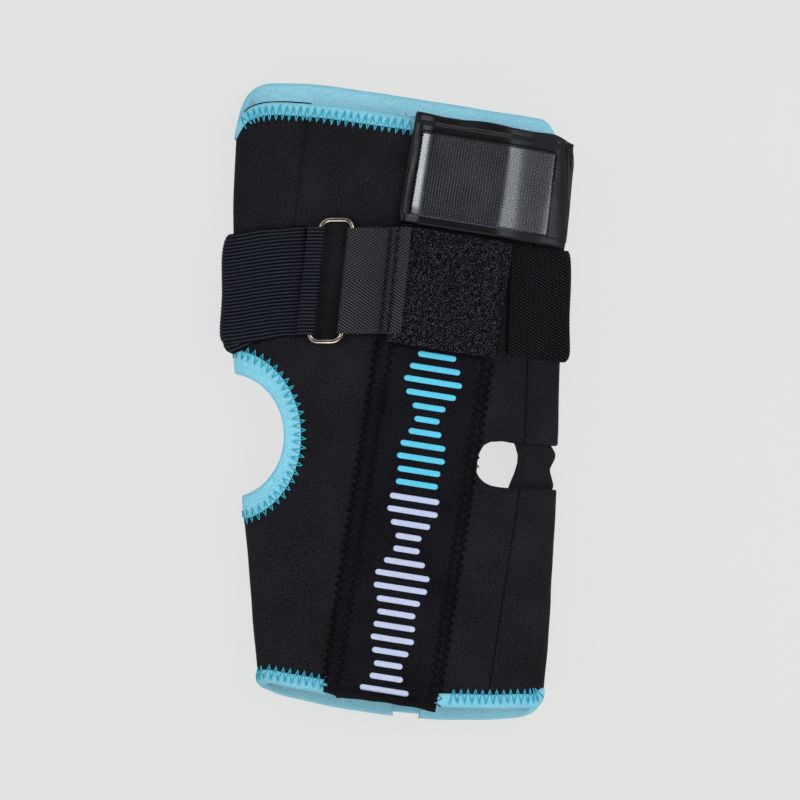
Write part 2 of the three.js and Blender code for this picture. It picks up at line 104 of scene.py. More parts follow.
def section(angle, y):
    """x and z of the sleeve's outer face; angle 0 is the right fold, 90 the crown, 180 the left fold."""
    middle, half = widths(y)
    turn = np.mod(angle, 360.0)
    rad = np.radians(turn)
    power = 2 / CROWN_POWER
    cosine = np.cos(rad)
    up_x = middle + half * np.sign(cosine) * np.abs(cosine) ** power
    up_z = FOLD_HEIGHT + (CROWN - FOLD_HEIGHT) * np.abs(np.sin(rad)) ** power
    side = np.where(turn < 270, -1.0, 1.0)
    from_fold = np.minimum(turn - 180, 360 - turn)
    bend = np.clip(from_fold / FOLD_TURN, 0, 1) * (math.pi / 2)
    inward = np.clip((from_fold - FOLD_TURN) / (90 - FOLD_TURN), 0, 1)
    down_x = middle + side * ((half - FOLD_RADIUS) * (1 - inward) + FOLD_RADIUS * np.cos(bend))
    down_z = FOLD_HEIGHT - (FOLD_HEIGHT - back_lift(y)) * np.sin(bend)
    upper = turn <= 180
    return np.where(upper, up_x, down_x), np.where(upper, up_z, down_z)


def at_angle(angle, y, depth):
    """Points of the sleeve at section angles, moved outward by depth."""
    angle, y, depth = np.broadcast_arrays(*(np.asarray(value, float) for value in (angle, y, depth)))
    x, z = section(angle, y)
    x0, z0 = section(angle - 2.0, y)
    x1, z1 = section(angle + 2.0, y)
    length = np.hypot(x1 - x0, z1 - z0)
    out = np.stack([x + depth * (z1 - z0) / length, y, z - depth * (x1 - x0) / length], -1)
    out[..., :2] += CENTRING
    return out


def arc_table():
    """Distances from the crown along the section: a row every 10 mm, a column every half degree."""
    x, z = section(np.linspace(-90, 270, 721)[None, :], np.linspace(-230, 230, 47)[:, None])
    run = np.concatenate([np.zeros((47, 1)), np.cumsum(np.hypot(np.diff(x), np.diff(z)), 1)], 1)
    return run[:, 360:361] - run


ARC_TABLE = arc_table()


def arc_of(angle, y):
    """Distance along the section from the crown, positive to the right."""
    column = np.clip((np.asarray(angle, float) + 90) * 2, 0, 719.999)
    row = np.clip((np.asarray(y, float) + 230) / 10, 0, 45.999)
    column, row = np.broadcast_arrays(column, row)
    c, r = column.astype(int), row.astype(int)
    u, v = column - c, row - r
    low = ARC_TABLE[r, c] * (1 - u) + ARC_TABLE[r, c + 1] * u
    high = ARC_TABLE[r + 1, c] * (1 - u) + ARC_TABLE[r + 1, c + 1] * u
    return low * (1 - v) + high * v


def angle_of(arc, y):
    """Section angle at a distance along the section, by halving."""
    arc, y = np.broadcast_arrays(np.asarray(arc, float), np.asarray(y, float))
    low, high = np.full(arc.shape, -90.0), np.full(arc.shape, 270.0)
    for _ in range(24):
        middle = (low + high) / 2
        further = arc_of(middle, y) > arc
        low = np.where(further, middle, low)
        high = np.where(further, high, middle)
    return (low + high) / 2


def on_sleeve(arc, y, depth):
    return at_angle(angle_of(arc, y), y, depth)


def angle_at(x, y):
    """Section angle of a point of the upper face; x and y without the centring."""
    middle, half = widths(np.asarray(y, float))
    across = np.clip((x - middle) / half, -1, 1)
    return np.degrees(np.arccos(np.sign(across) * np.abs(across) ** (CROWN_POWER / 2)))


def crown_height(x, y):
    """Height of the upper face over a point, without the centring."""
    middle, half = widths(np.asarray(y, float))
    across = np.minimum(0.99, np.abs(x - middle) / half)
    return FOLD_HEIGHT + (CROWN - FOLD_HEIGHT) * (1 - across ** CROWN_POWER) ** (1 / CROWN_POWER)


def rims(angle):
    """How far up and down the sleeve's rims are cut at a section angle."""
    x, z = section(angle, 0.0)
    across = np.clip(x / EDGE_SPAN, -1, 1)
    facing = np.where(z > FOLD_HEIGHT, (z - FOLD_HEIGHT) / (CROWN - FOLD_HEIGHT), z / FOLD_HEIGHT - 1)
    past = np.mod(angle, 360) - 180
    blunt = np.sqrt(past ** 2 + 9) - 3
    front_drop = 34 * np.exp(-blunt / 25)
    back_drop = 26 * np.exp(-blunt / 7) + 8 * np.exp(-(blunt / 32) ** 2)
    left_corner = np.where(past < 0, front_drop, back_drop)
    right_corner = np.where(across > 0, 5 * across ** 40, 0)
    top = 197 - 17.5 * across - 6.5 * facing - left_corner - 17 * smooth(across, 0.76, 1.0) ** 2
    bottom = -210 + 8.5 * (across - 0.48) ** 2 + 5 * facing + right_corner
    return top, bottom


def from_pocket(x, y):
    return (POCKET_X + x * math.cos(LEAN) + y * math.sin(LEAN), y * math.cos(LEAN) - x * math.sin(LEAN))


def over_pocket(x, y, height):
    """Points over the crown in the pocket's own directions; height is above the crown's top."""
    world_x, world_y = from_pocket(x, y)
    return np.stack([world_x + CENTRING[0], world_y + CENTRING[1], CROWN + height], -1)


def crown_in_pocket(x, y):
    return crown_height(*from_pocket(x, y)) - CROWN


def ripple(x, y, scale, seed):
    """A soft, seeded unevenness between about -1 and 1, with hills about scale across."""
    dice = np.random.default_rng(seed)
    total = np.zeros(np.broadcast(x, y).shape)
    for _ in range(7):
        turn = dice.uniform(0, math.pi)
        pitch = scale * dice.uniform(0.7, 1.5)
        phase = dice.uniform(0, 2 * math.pi)
        total += np.sin((x * math.cos(turn) + y * math.sin(turn)) * 2 * math.pi / pitch + phase)
    return total / 4


# ---- Mesh makers ----
def new_piece(name, points, faces, materials, body, uv=None, which=None):
    mesh = bpy.data.meshes.new(name)
    mesh.from_pydata([tuple(p) for p in np.asarray(points, float) * MM], [], faces)
    mesh.validate()
    for material in materials:
        mesh.materials.append(material)
    if which is not None:
        mesh.polygons.foreach_set("material_index", np.asarray(which, np.int32))
    if uv is not None:
        layer = mesh.uv_layers.new(name="cloth")
        corner = np.zeros(len(mesh.loops), np.int32)
        mesh.loops.foreach_get("vertex_index", corner)
        layer.data.foreach_set("uv", (np.asarray(uv, float)[corner] / 100).ravel())
    mesh.polygons.foreach_set("use_smooth", np.full(len(mesh.polygons), True))
    piece = bpy.data.objects.new(name, mesh)
    bpy.context.scene.collection.objects.link(piece)
    if body:
        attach(piece, body)
    return piece


def filed(piece, node=None):
    """Hides the CAD node the piece stands for, if one is given."""
    if node:
        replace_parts(piece, node)
    return piece


def mend(piece, weld=False):
    """Makes every face point outward; weld joins points in one place."""
    work = bmesh.new()
    work.from_mesh(piece.data)
    if weld:
        bmesh.ops.remove_doubles(work, verts=work.verts, dist=1e-6)
    bmesh.ops.recalc_face_normals(work, faces=work.faces)
    work.to_mesh(piece.data)
    work.free()


def grid_faces(rows, columns, ring=False):
    """The quads of a grid of points; ring joins the last column to the first."""
    row = np.arange(rows - 1)[:, None]
    column = np.arange(columns if ring else columns - 1)[None, :]
    right = (column + 1) % columns
    corners = [(row, column), (row, right), (row + 1, right), (row + 1, column)]
    return np.stack([r * columns + c for r, c in corners], -1).reshape(-1, 4)


def thick_grid(name, outer, inner, material, body, uv):
    """A closed piece between two grids of points."""
    rows, columns = outer.shape[:2]
    count = rows * columns
    points = np.concatenate([outer.reshape(-1, 3), inner.reshape(-1, 3)])
    top = grid_faces(rows, columns)
    faces = top.tolist() + (top[:, ::-1] + count).tolist()
    last = (rows - 1) * columns
    for a in range(columns - 1):
        faces.append((a, a + count, a + 1 + count, a + 1))
        faces.append((last + a, last + a + 1, last + a + 1 + count, last + a + count))
    for a in range(0, last, columns):
        b = a + columns - 1
        faces.append((a, a + columns, a + columns + count, a + count))
        faces.append((b, b + count, b + columns + count, b + columns))
    piece = new_piece(name, points, faces, [material], body, np.concatenate([uv.reshape(-1, 2)] * 2))
    mend(piece)
    return piece


def swept(name, sections, material, body, uv=None, closed=False):
    """A closed outline carried along a path: sections is path points x outline points x 3."""
    if closed:
        sections = np.concatenate([sections, sections[:1]])
        if uv is not None:
            uv = np.concatenate([uv, uv[-1:] + (uv[-1:] - uv[-2:-1])])
    rows, columns = sections.shape[:2]
    faces = grid_faces(rows, columns, ring=True).tolist()
    if not closed:
        faces.append(tuple(range(columns)))
        faces.append(tuple((rows - 1) * columns + c for c in range(columns))[::-1])
    uv = None if uv is None else uv.reshape(-1, 2)
    piece = new_piece(name, sections.reshape(-1, 3), faces, [material], body, uv)
    mend(piece, weld=closed)
    return piece


def tube(name, path, radius, material, body, sides=6, closed=False):
    """A round thread or wire along a path, with its frame carried along without twist."""
    path = np.asarray(path, float)
    if closed:
        ahead, behind = np.roll(path, -1, 0), np.roll(path, 1, 0)
    else:
        ahead = np.concatenate([path[1:], path[-1:]])
        behind = np.concatenate([path[:1], path[:-1]])
    along = unit(ahead - behind)
    side = np.cross(along, [0.0, 0.0, 1.0])
    side /= np.maximum(np.linalg.norm(side, axis=1, keepdims=True), 1e-6)
    up = np.cross(side, along)
    turn = np.linspace(0, 2 * math.pi, sides, endpoint=False)
    ring = side[:, None] * np.cos(turn)[None, :, None] + up[:, None] * np.sin(turn)[None, :, None]
    radius = np.broadcast_to(np.asarray(radius, float), (len(path),))
    return swept(name, path[:, None] + ring * radius[:, None, None], material, body, closed=closed)


def join(name, pieces):
    """Joins pieces of one body into the first, and renames it."""
    bpy.ops.object.select_all(action="DESELECT")
    for piece in pieces:
        piece.select_set(True)
    bpy.context.view_layer.objects.active = pieces[0]
    if len(pieces) > 1:
        bpy.ops.object.join()
    pieces[0].name = name
    pieces[0].data.name = name
    return pieces[0]


def unit(vectors):
    return vectors / np.linalg.norm(vectors, axis=-1, keepdims=True)


def running(points):
    """How far along a path each of its points is."""
    return np.concatenate([[0], np.cumsum(np.linalg.norm(np.diff(points, axis=0), axis=1))])


def spread(points, pitch):
    """The path with its points pitch apart."""
    points = np.asarray(points, float)
    run = running(points)
    at = np.linspace(0, run[-1], max(2, int(round(run[-1] / pitch)) + 1))
    return np.stack([np.interp(at, run, points[:, k]) for k in range(points.shape[1])], -1)


def spread_loop(loop, pitch):
    return spread(np.concatenate([loop, loop[:1]]), pitch)[:-1]


def finer(points, steps):
    """The points of a path, with each stretch but the end point cut into steps."""
    points = np.array(points)
    share = np.linspace(0, 1, steps + 1)[:-1, None]
    return np.concatenate([a + (b - a) * share for a, b in zip(points[:-1], points[1:])])


def beside(u, v):
    """Two coordinates as pairs, each spread to the other's shape."""
    return np.stack(np.broadcast_arrays(u, v), -1)


def within(points, loop):
    """Even-odd test of points against a closed loop."""
    odd = np.zeros(len(points), bool)
    px, py = points[:, 0], points[:, 1]
    for (x0, y0), (x1, y1) in zip(loop, np.roll(loop, -1, 0)):
        if y0 == y1:
            continue
        odd ^= ((y0 > py) != (y1 > py)) & (px < (x1 - x0) * (py - y0) / (y1 - y0) + x0)
    return odd


def inside(points, loops):
    """Inside the first loop and outside the others."""
    kept = within(points, loops[0])
    for hole in loops[1:]:
        kept &= ~within(points, hole)
    return kept


def edge_distance(points, loops, reach=8.0):
    """Distance to the nearest loop, capped at reach."""
    best = np.full(len(points), reach)
    for loop in loops:
        ends = np.roll(loop, -1, 0)
        for a, b in zip(loop, ends):
            low, high = np.minimum(a, b) - reach, np.maximum(a, b) + reach
            near = np.nonzero(((points >= low) & (points <= high)).all(1))[0]
            if not len(near):
                continue
            step = b - a
            share = np.clip(((points[near] - a) @ step) / max(step @ step, 1e-12), 0, 1)
            gap = np.linalg.norm(points[near] - a - share[:, None] * step, axis=1)
            best[near] = np.minimum(best[near], gap)
    return best


def level(height):
    """A height as a function of place, unless it is one already."""
    return height if callable(height) else lambda u, v: np.full(u.shape, float(height))


def fill_points(loops, spacing, lines):
    """Points inside the loops: a staggered field, rows beside the edges, and the lines."""
    low, high = np.concatenate(loops).min(0), np.concatenate(loops).max(0)
    field = []
    for index, v in enumerate(np.arange(low[1], high[1], spacing * 0.87)):
        us = np.arange(low[0] + (index % 2) * spacing / 2, high[0], spacing)
        field.append(beside(us, v))
    field = np.concatenate(field)
    field = field[inside(field, loops)]
    free = [field[edge_distance(field, loops) > spacing * 0.9]]
    for loop in loops:
        along = np.roll(loop, -1, 0) - np.roll(loop, 1, 0)
        along /= np.maximum(np.linalg.norm(along, axis=1, keepdims=True), 1e-9)
        out = np.stack([along[:, 1], -along[:, 0]], -1)
        for offset in (0.5, 1.4):
            for sign in (-1, 1):
                ring = loop + out * offset * sign
                free.append(ring[inside(ring, loops) & (edge_distance(ring, loops) > offset * 0.8)])
    for line in lines:
        free.append(line[inside(line, loops) & (edge_distance(line, loops) > 0.8)])
    return np.concatenate(free)


def cut_cloth(name, loops, spacing, place, high, low, materials, body, lines=(), round_edge=1.6):
    """A sheet cut to loops (the first outside, the rest holes) and given thickness.

    place(u, v, depth) gives the point; high and low are the depths of its two faces, or functions of
    u and v. lines are extra point rows, for creases. The last material is the lower face's."""
    loops = [np.asarray(loop, float) for loop in loops]
    start = 0
    edges = []
    for loop in loops:
        edges += [(start + i, start + (i + 1) % len(loop)) for i in range(len(loop))]
        start += len(loop)
    flat = np.concatenate(loops + [fill_points(loops, spacing, lines)])
    result = delaunay_2d_cdt([Vector(p) for p in flat], edges, [], 0, 1e-4)
    points = np.array([tuple(p) for p in result[0]])
    triangles = np.array([f for f in result[2] if len(f) == 3])
    triangles = triangles[inside(points[triangles].mean(1), loops)]
    used = np.unique(triangles)
    remap = np.full(len(points), -1)
    remap[used] = np.arange(len(used))
    points, triangles = points[used], remap[triangles]
    gap = edge_distance(points, loops, round_edge + 0.5)
    sink = round_edge - np.sqrt(np.maximum(0, round_edge ** 2 - np.maximum(0, round_edge - gap) ** 2))
    u, v = points.T
    top_depth, bottom_depth = level(high)(u, v), level(low)(u, v)
    sink = np.minimum(sink, np.maximum(0, (top_depth - bottom_depth) / 2 - 0.05))
    both = np.concatenate([place(u, v, top_depth - sink), place(u, v, bottom_depth + sink)])
    count = len(points)
    directed = np.concatenate([triangles[:, [0, 1]], triangles[:, [1, 2]], triangles[:, [2, 0]]])
    seen = {tuple(e) for e in directed.tolist()}
    walls = [(b, a, a + count, b + count) for a, b in seen if (b, a) not in seen]
    faces = triangles.tolist() + (triangles[:, ::-1] + count).tolist() + walls
    which = [0] * len(triangles) + [len(materials) - 1] * len(triangles) + [0] * len(walls)
    piece = new_piece(name, both, faces, materials, body, np.concatenate([points, points]), which)
    mend(piece)
    return piece


def block(name, loops, low, top, material, body, edge=0.6, spacing=3.0, node=None, place=None):
    """A piece of one material, cut to loops over the pocket unless another place is given."""
    piece = cut_cloth(
        name, loops, spacing, place or over_pocket, top, low, [material], body, round_edge=edge)
    return filed(piece, node)


# ---- Materials ----
def srgb(r, g, b):
    def lin(c):
        c /= 255
        return c / 12.92 if c <= 0.04045 else ((c + 0.055) / 1.055) ** 2.4
    return (lin(r), lin(g), lin(b), 1)


class Nodes:
    """Short calls for building one material's node tree."""

    def __init__(self, name):
        self.material = bpy.data.materials.new(name)
        self.material.use_nodes = True
        self.tree = self.material.node_tree
        self.shader = self.tree.nodes["Principled BSDF"]

    def node(self, kind, inputs, **settings):
        """Adds a node; each of its inputs is a fixed value or another node's output."""
        made = self.tree.nodes.new("ShaderNode" + kind)
        for key, value in settings.items():
            setattr(made, key, value)
        for key, value in inputs.items():
            if isinstance(value, bpy.types.NodeSocket):
                self.tree.links.new(value, made.inputs[key])
            else:
                made.inputs[key].default_value = value
        return made

    def in_mm(self, source, scale):
        return self.node("VectorMath", {0: source, "Scale": scale}, operation="SCALE").outputs[0]

    def cloth_mm(self):
        """The cloth's own coordinates, in millimetres."""
        return self.in_mm(self.node("UVMap", {}, uv_map="cloth").outputs[0], 100)

    def place_mm(self):
        """The piece's own place, in millimetres."""
        return self.in_mm(self.node("TexCoord", {}).outputs["Object"], 1000)

    def noise(self, source, pitch, detail=3.0):
        """Noise with grains about pitch across, from 0 to 1."""
        inputs = {"Vector": source, "Scale": 1 / pitch, "Detail": detail}
        return self.node("TexNoise", inputs).outputs["Fac"]

    def wave(self, source, pitch, axis, distortion=0.0):
        inputs = {"Vector": source, "Scale": math.pi / (10 * pitch), "Distortion": distortion, "Detail": 0}
        return self.node("TexWave", inputs, bands_direction=axis, wave_profile="SIN").outputs["Fac"]

    def cells(self, source, pitch, randomness=1.0):
        inputs = {"Vector": source, "Scale": 1 / pitch, "Randomness": randomness}
        return self.node("TexVoronoi", inputs, feature="F1").outputs[0]

    def maths(self, operation, a, b=0):
        return self.node("Math", {0: a, 1: b}, operation=operation).outputs[0]

    def product(self, a, b):
        return self.maths("MULTIPLY", a, b)

    def total(self, *parts):
        """The sum of sources, each times its share."""
        terms = [self.product(source, share) for source, share in parts]
        result = terms[0]
        for term in terms[1:]:
            result = self.maths("ADD", result, term)
        return result

    def turned(self, source, degrees):
        inputs = {"Vector": source, "Angle": math.radians(degrees)}
        return self.node("VectorRotate", inputs, rotation_type="Z_AXIS").outputs[0]

    def split(self, source):
        return self.node("SeparateXYZ", {0: source}).outputs

    def ramp(self, factor, low, high, dark, light):
        """Colour going from dark to light as factor goes from low to high."""
        made = self.node("ValToRGB", {0: factor})
        made.color_ramp.elements[0].position, made.color_ramp.elements[1].position = low, high
        made.color_ramp.elements[0].color, made.color_ramp.elements[1].color = dark, light
        return made.outputs[0]

    def bump(self, height, distance, strength=1.0):
        """distance is the bump's height in millimetres."""
        made = self.node("Bump", {"Height": height, "Distance": distance * MM, "Strength": strength})
        self.tree.links.new(made.outputs[0], self.shader.inputs["Normal"])

    def shade(self, colour, wear=None, rough=(0, 1), **values):
        """Sets the shader; roughness follows wear, within rough."""
        self.tree.links.new(colour, self.shader.inputs["Base Color"])
        if wear is not None:
            spread_out = self.node("MapRange", {"Value": wear, "To Min": rough[0], "To Max": rough[1]})
            self.tree.links.new(spread_out.outputs[0], self.shader.inputs["Roughness"])
        for key, value in values.items():
            self.shader.inputs[key.replace("_", " ")].default_value = value
        return self.material


def knit(name, dark, light, sheen=0.0, pitch=0.8, rough=0.8, inner=None):
    """Fine jersey: small loops with soft patches of wear; inner is the colour of a tape's far side, painted
    lighter than its near side to make up for the shade it lies in inside the sleeve.
    """
    n = Nodes(name)
    cloth = n.cloth_mm()
    loops = n.product(n.wave(cloth, pitch, "X", 0.4), n.wave(cloth, pitch * 0.8, "Y", 0.4))
    patches = n.noise(cloth, 38, 4)
    grain = n.noise(cloth, 1.1, 2)
    tone = n.total((n.total((patches, 0.25), (grain, 0.75)), 0.8), (loops, 0.2))
    colour = n.ramp(tone, 0.36, 0.62, dark, light)
    # Painted light: the tape's far side lies in shade inside the sleeve, so it is coloured lighter than its
    # near side.
    if inner:
        share = n.ramp(n.product(n.split(cloth)[1], 1 / BAND_UV), 0.53, 0.73, (0, 0, 0, 1), (1, 1, 1, 1))
        lightened_far_side = n.ramp(tone, 0.36, 0.62, *inner)
        colour = n.node("Mix", {0: share, 6: colour, 7: lightened_far_side}, data_type="RGBA").outputs[2]
    n.bump(n.total((loops, 1), (grain, 0.9)), 0.2, 0.9)
    return n.shade(
        colour, patches, (rough - 0.07, rough + 0.07),
        Sheen_Weight=sheen, Sheen_Roughness=0.45, Specular_IOR_Level=0.05)


def print_ink(name, dark, light):
    n = Nodes(name)
    grain = n.noise(n.place_mm(), 0.9, 2)
    n.bump(grain, 0.08, 0.6)
    return n.shade(n.ramp(grain, 0.3, 0.7, dark, light), grain, (0.42, 0.6), Specular_IOR_Level=0.4)


def thread(name, dark, light, rough):
    n = Nodes(name)
    place = n.place_mm()
    twist = n.wave(n.turned(place, 35), 0.55, "X")
    n.bump(twist, 0.1, 0.8)
    colour = n.ramp(twist, 0.1, 0.9, dark, light)
    return n.shade(colour, n.noise(place, 3), (rough - 0.08, rough + 0.08), Specular_IOR_Level=0.05)


def ribbed_elastic():
    """Elastic whose ribs run with the strap; v is across it. Its colour has painted highlights on the rib
    tops and painted shade in the grooves.
    """
    n = Nodes("ribbed_elastic")
    cloth = n.cloth_mm()
    swing = n.maths("COSINE", n.product(n.split(cloth)[1], math.pi / RIB_PITCH))
    ribs = n.maths("POWER", n.maths("ABSOLUTE", swing), 1.6)
    picks = n.product(n.wave(cloth, 1.3, "X", 0.8), ribs)
    # Painted light and shade: the tone is lighter on the rib tops and darker in the grooves, and the weave
    # picks are brightest on the rib tops.
    tone = n.total((ribs, 0.6), (n.noise(cloth, 1.3, 2), 0.25), (picks, 0.35))
    n.bump(picks, 0.3)
    colour = n.ramp(tone, 0.42, 0.95, srgb(0, 0, 1), srgb(38, 41, 50))
    return n.shade(colour, n.noise(cloth, 9), (0.6, 0.78), Specular_IOR_Level=0.06)


def woven_elastic():
    n = Nodes("woven_elastic")
    cloth = n.cloth_mm()
    weave = n.product(n.wave(n.turned(cloth, 24), 2.0, "Y", 0.6), n.wave(cloth, 1.5, "X", 0.8))
    tone = n.total((weave, 0.6), (n.noise(cloth, 1.2, 2), 0.4))
    n.bump(weave, 0.22, 0.8)
    colour = n.ramp(tone, 0.35, 0.75, srgb(0, 0, 1), srgb(42, 42, 45))
    return n.shade(colour, n.noise(cloth, 9), (0.62, 0.8), Specular_IOR_Level=0.04)


def webbing_twill():
    """Twill webbing: bright picks on a dark ground, in slanting rows that turn half way across."""
    n = Nodes("webbing_twill")
    cloth = n.cloth_mm()
    parts = n.split(cloth)
    folded = n.node("CombineXYZ", {0: parts[0], 1: n.maths("ABSOLUTE", parts[1])}).outputs[0]
    slanted = n.turned(folded, 32)
    weave = n.product(n.wave(slanted, 1.7, "Y"), n.wave(slanted, 1.25, "X"))
    n.bump(weave, 0.4, 0.9)
    colour = n.ramp(weave, 0.4, 0.85, srgb(1, 1, 2), srgb(90, 91, 99))
    return n.shade(colour, n.noise(cloth, 6), (0.5, 0.7), Specular_IOR_Level=0.15)


def hem_cloth():
    """Glossy woven tape."""
    n = Nodes("hem_cloth")
    cloth = n.cloth_mm()
    rows = n.wave(cloth, 1.3, "Y", 0.5)
    grain = n.noise(cloth, 1.2, 2)
    n.bump(n.maths("ADD", rows, grain), 0.06, 0.8)
    colour = n.ramp(n.total((rows, 0.4), (grain, 1)), 0.4, 0.9, srgb(0, 0, 1), srgb(16, 16, 19))
    return n.shade(colour, n.noise(cloth, 12), (0.25, 0.42), Specular_IOR_Level=0.15)


def loop_pile():
    n = Nodes("loop_pile")
    place = n.place_mm()
    tone = n.total((n.cells(place, 0.9), 0.5), (n.noise(place, 0.7, 4), 0.6))
    n.bump(tone, 0.5)
    colour = n.ramp(tone, 0.35, 0.8, srgb(0, 0, 1), srgb(17, 16, 20))
    return n.shade(colour, n.noise(place, 8), (0.85, 0.98), Specular_IOR_Level=0.03)


def pile_fibre():
    n = Nodes("pile_fibre")
    place = n.place_mm()
    colour = n.ramp(n.noise(place, 0.8, 2), 0.35, 0.75, srgb(10, 10, 12), srgb(126, 121, 136))
    return n.shade(colour, n.noise(place, 4), (0.8, 0.95), Specular_IOR_Level=0.1)


def hook_tape():
    n = Nodes("hook_tape")
    place = n.place_mm()
    hooks = n.cells(place, 1.3, 0.25)
    n.bump(n.maths("SUBTRACT", 1.0, hooks), 0.6)
    colour = n.ramp(hooks, 0.1, 0.5, srgb(60, 60, 64), srgb(14, 14, 16))
    return n.shade(colour, n.noise(place, 4), (0.4, 0.55))


def nickel():
    n = Nodes("nickel_wire")
    place = n.place_mm()
    n.bump(n.noise(place, 0.8, 2), 0.02, 0.3)
    colour = n.ramp(n.noise(place, 6, 5), 0.35, 0.7, srgb(134, 124, 110), srgb(178, 167, 151))
    return n.shade(colour, n.noise(place, 2, 3), (0.12, 0.28), Metallic=1.0)


def ribbed_mesh():
    """Window mesh: rows of small lit cells with dark gaps."""
    n = Nodes("ribbed_mesh")
    cloth = n.cloth_mm()
    cells = n.product(n.wave(cloth, MESH_COLUMN, "X"), n.wave(cloth, MESH_ROW, "Y"))
    n.bump(cells, 0.6)
    colour = n.ramp(cells, 0.3, 0.85, srgb(1, 2, 2), srgb(106, 110, 101))
    return n.shade(colour, n.noise(cloth, 5), (0.65, 0.8), Specular_IOR_Level=0.1)


def clear_film():
    """Thin glossy film with long, soft dents."""
    n = Nodes("clear_film")
    place = n.place_mm()
    smear = n.noise(place, 16, 5)
    drawn_out = n.node("Mapping", {0: n.cloth_mm(), "Scale": (0.06, 1, 1)}).outputs[0]
    n.bump(n.total((n.noise(place, 17, 0), 1), (n.noise(drawn_out, 3.4, 0), 0.28)), 0.5, 0.6)
    colour = n.ramp(smear, 0.3, 0.75, srgb(20, 22, 32), srgb(34, 36, 50))
    return n.shade(
        colour, smear, (0.24, 0.34),
        Alpha=0.22, Specular_IOR_Level=1.0, IOR=1.6, Coat_Weight=0.3, Coat_Roughness=0.2)


def gel_film():
    n = Nodes("gel_film")
    place = n.place_mm()
    cloud = n.noise(place, 22, 5)
    n.bump(n.noise(place, 5, 4), 0.25, 0.5)
    colour = n.ramp(cloud, 0.3, 0.75, srgb(34, 112, 178), srgb(92, 168, 216))
    return n.shade(colour, cloud, (0.16, 0.34), Coat_Weight=0.5, Coat_Roughness=0.12)


def moulded(name, dark, light, rough):
    """Moulded plastic or rubber: fine spark texture, slightly uneven gloss."""
    n = Nodes(name)
    place = n.place_mm()
    spark = n.noise(place, 0.35, 3)
    patches = n.noise(place, 18, 4)
    n.bump(spark, 0.05, 0.6)
    return n.shade(n.ramp(n.total((spark, 0.4), (patches, 0.6)), 0.3, 0.7, dark, light), patches, rough)


def steel_can():
    n = Nodes("motor_steel")
    lines = n.noise(n.place_mm(), 1.2, 4)
    colour = n.ramp(lines, 0.3, 0.7, srgb(150, 152, 156), srgb(205, 206, 208))
    return n.shade(colour, lines, (0.22, 0.42), Metallic=1.0)


def light_guide():
    n = Nodes("light_guide")
    place = n.place_mm()
    colour = n.ramp(n.noise(place, 0.8), 0.3, 0.7, srgb(150, 214, 150), srgb(190, 236, 186))
    return n.shade(
        colour, n.noise(place, 2), (0.15, 0.3),
        Transmission_Weight=0.5, IOR=1.49, Emission_Color=srgb(120, 230, 130), Emission_Strength=0.15)


def floor_material():
    n = Nodes("pale_floor")
    speckle = n.noise(n.place_mm(), 240, 2)
    return n.shade(
        n.ramp(speckle, 0.2, 0.8, (0.04, 0.04, 0.04, 1), (0.045, 0.045, 0.045, 1)),
        Roughness=0.9, Specular_IOR_Level=0.0, Emission_Color=(1, 1, 1, 1), Emission_Strength=0.7)


NEO = knit("neoprene_jersey", srgb(6, 5, 6), srgb(39, 37, 41))
# The binding's inner colours are for its far side, painted lighter to offset the shade inside the sleeve.
TEAL = knit(
    "teal_binding", srgb(104, 170, 186), srgb(132, 192, 206), 0.1, pitch=0.7, rough=0.75,
    inner=(srgb(128, 186, 198), srgb(156, 208, 220)))
LINING = knit("teal_lining", srgb(112, 172, 186), srgb(142, 196, 208), 0.1, pitch=0.9, rough=0.7)
POCKET = knit("pocket_jersey", srgb(1, 1, 2), srgb(30, 29, 35), pitch=0.7)
RIBBED = ribbed_elastic()
WOVEN = woven_elastic()
TWILL = webbing_twill()
HEM_CLOTH = hem_cloth()
PILE = loop_pile()
FIBRE = pile_fibre()
HOOKS = hook_tape()
NICKEL = nickel()
MESH = ribbed_mesh()
FILM = clear_film()
GEL = gel_film()
CYAN = thread("cyan_thread", srgb(22, 118, 136), srgb(64, 184, 204), 0.55)
BLACK = thread("black_thread", srgb(2, 2, 3), srgb(13, 13, 15), 0.75)
# Grey thread: painted highlight, a lighter copy of the black thread for the one row of stitches that
# catches the light.
GREY_HIGHLIGHT_THREAD = thread("grey_highlight_thread", srgb(26, 27, 31), srgb(84, 86, 94), 0.4)
INK_TEAL = print_ink("ink_teal", srgb(58, 156, 178), srgb(76, 174, 195))
INK_LILAC = print_ink("ink_lilac", srgb(148, 156, 178), srgb(164, 172, 192))
PAD = moulded("pad_rubber", srgb(34, 35, 38), srgb(54, 55, 60), (0.55, 0.72))
WIRE_DARK = moulded("wire_dark", srgb(20, 20, 22), srgb(36, 36, 40), (0.35, 0.5))
WIRE_LIGHT = moulded("wire_light", srgb(150, 152, 156), srgb(186, 188, 192), (0.35, 0.5))
CASE = moulded("case_plastic", srgb(30, 31, 34), srgb(48, 49, 53), (0.38, 0.55))
KEY = moulded("key_rubber", srgb(72, 160, 178), srgb(98, 184, 200), (0.45, 0.6))
BOARD = moulded("circuit_board", srgb(18, 78, 52), srgb(30, 104, 70), (0.3, 0.5))
FOIL = moulded("battery_foil", srgb(150, 152, 158), srgb(190, 192, 198), (0.25, 0.45))
STEEL = steel_can()
LENS = light_guide()


# ---- Camera, light and floor ----
def area_light(name, place, aim, wide, tall, power, tint=(1, 1, 1)):
    light = bpy.data.lights.new(name, "AREA")
    light.shape = "RECTANGLE"
    light.size, light.size_y, light.energy = wide, tall, power
    light.color = tint
    lamp = bpy.data.objects.new(name, light)
    lamp.location = place
    lamp.rotation_euler = (Vector(aim) - Vector(place)).to_track_quat("-Z", "Y").to_euler()
    bpy.context.scene.collection.objects.link(lamp)


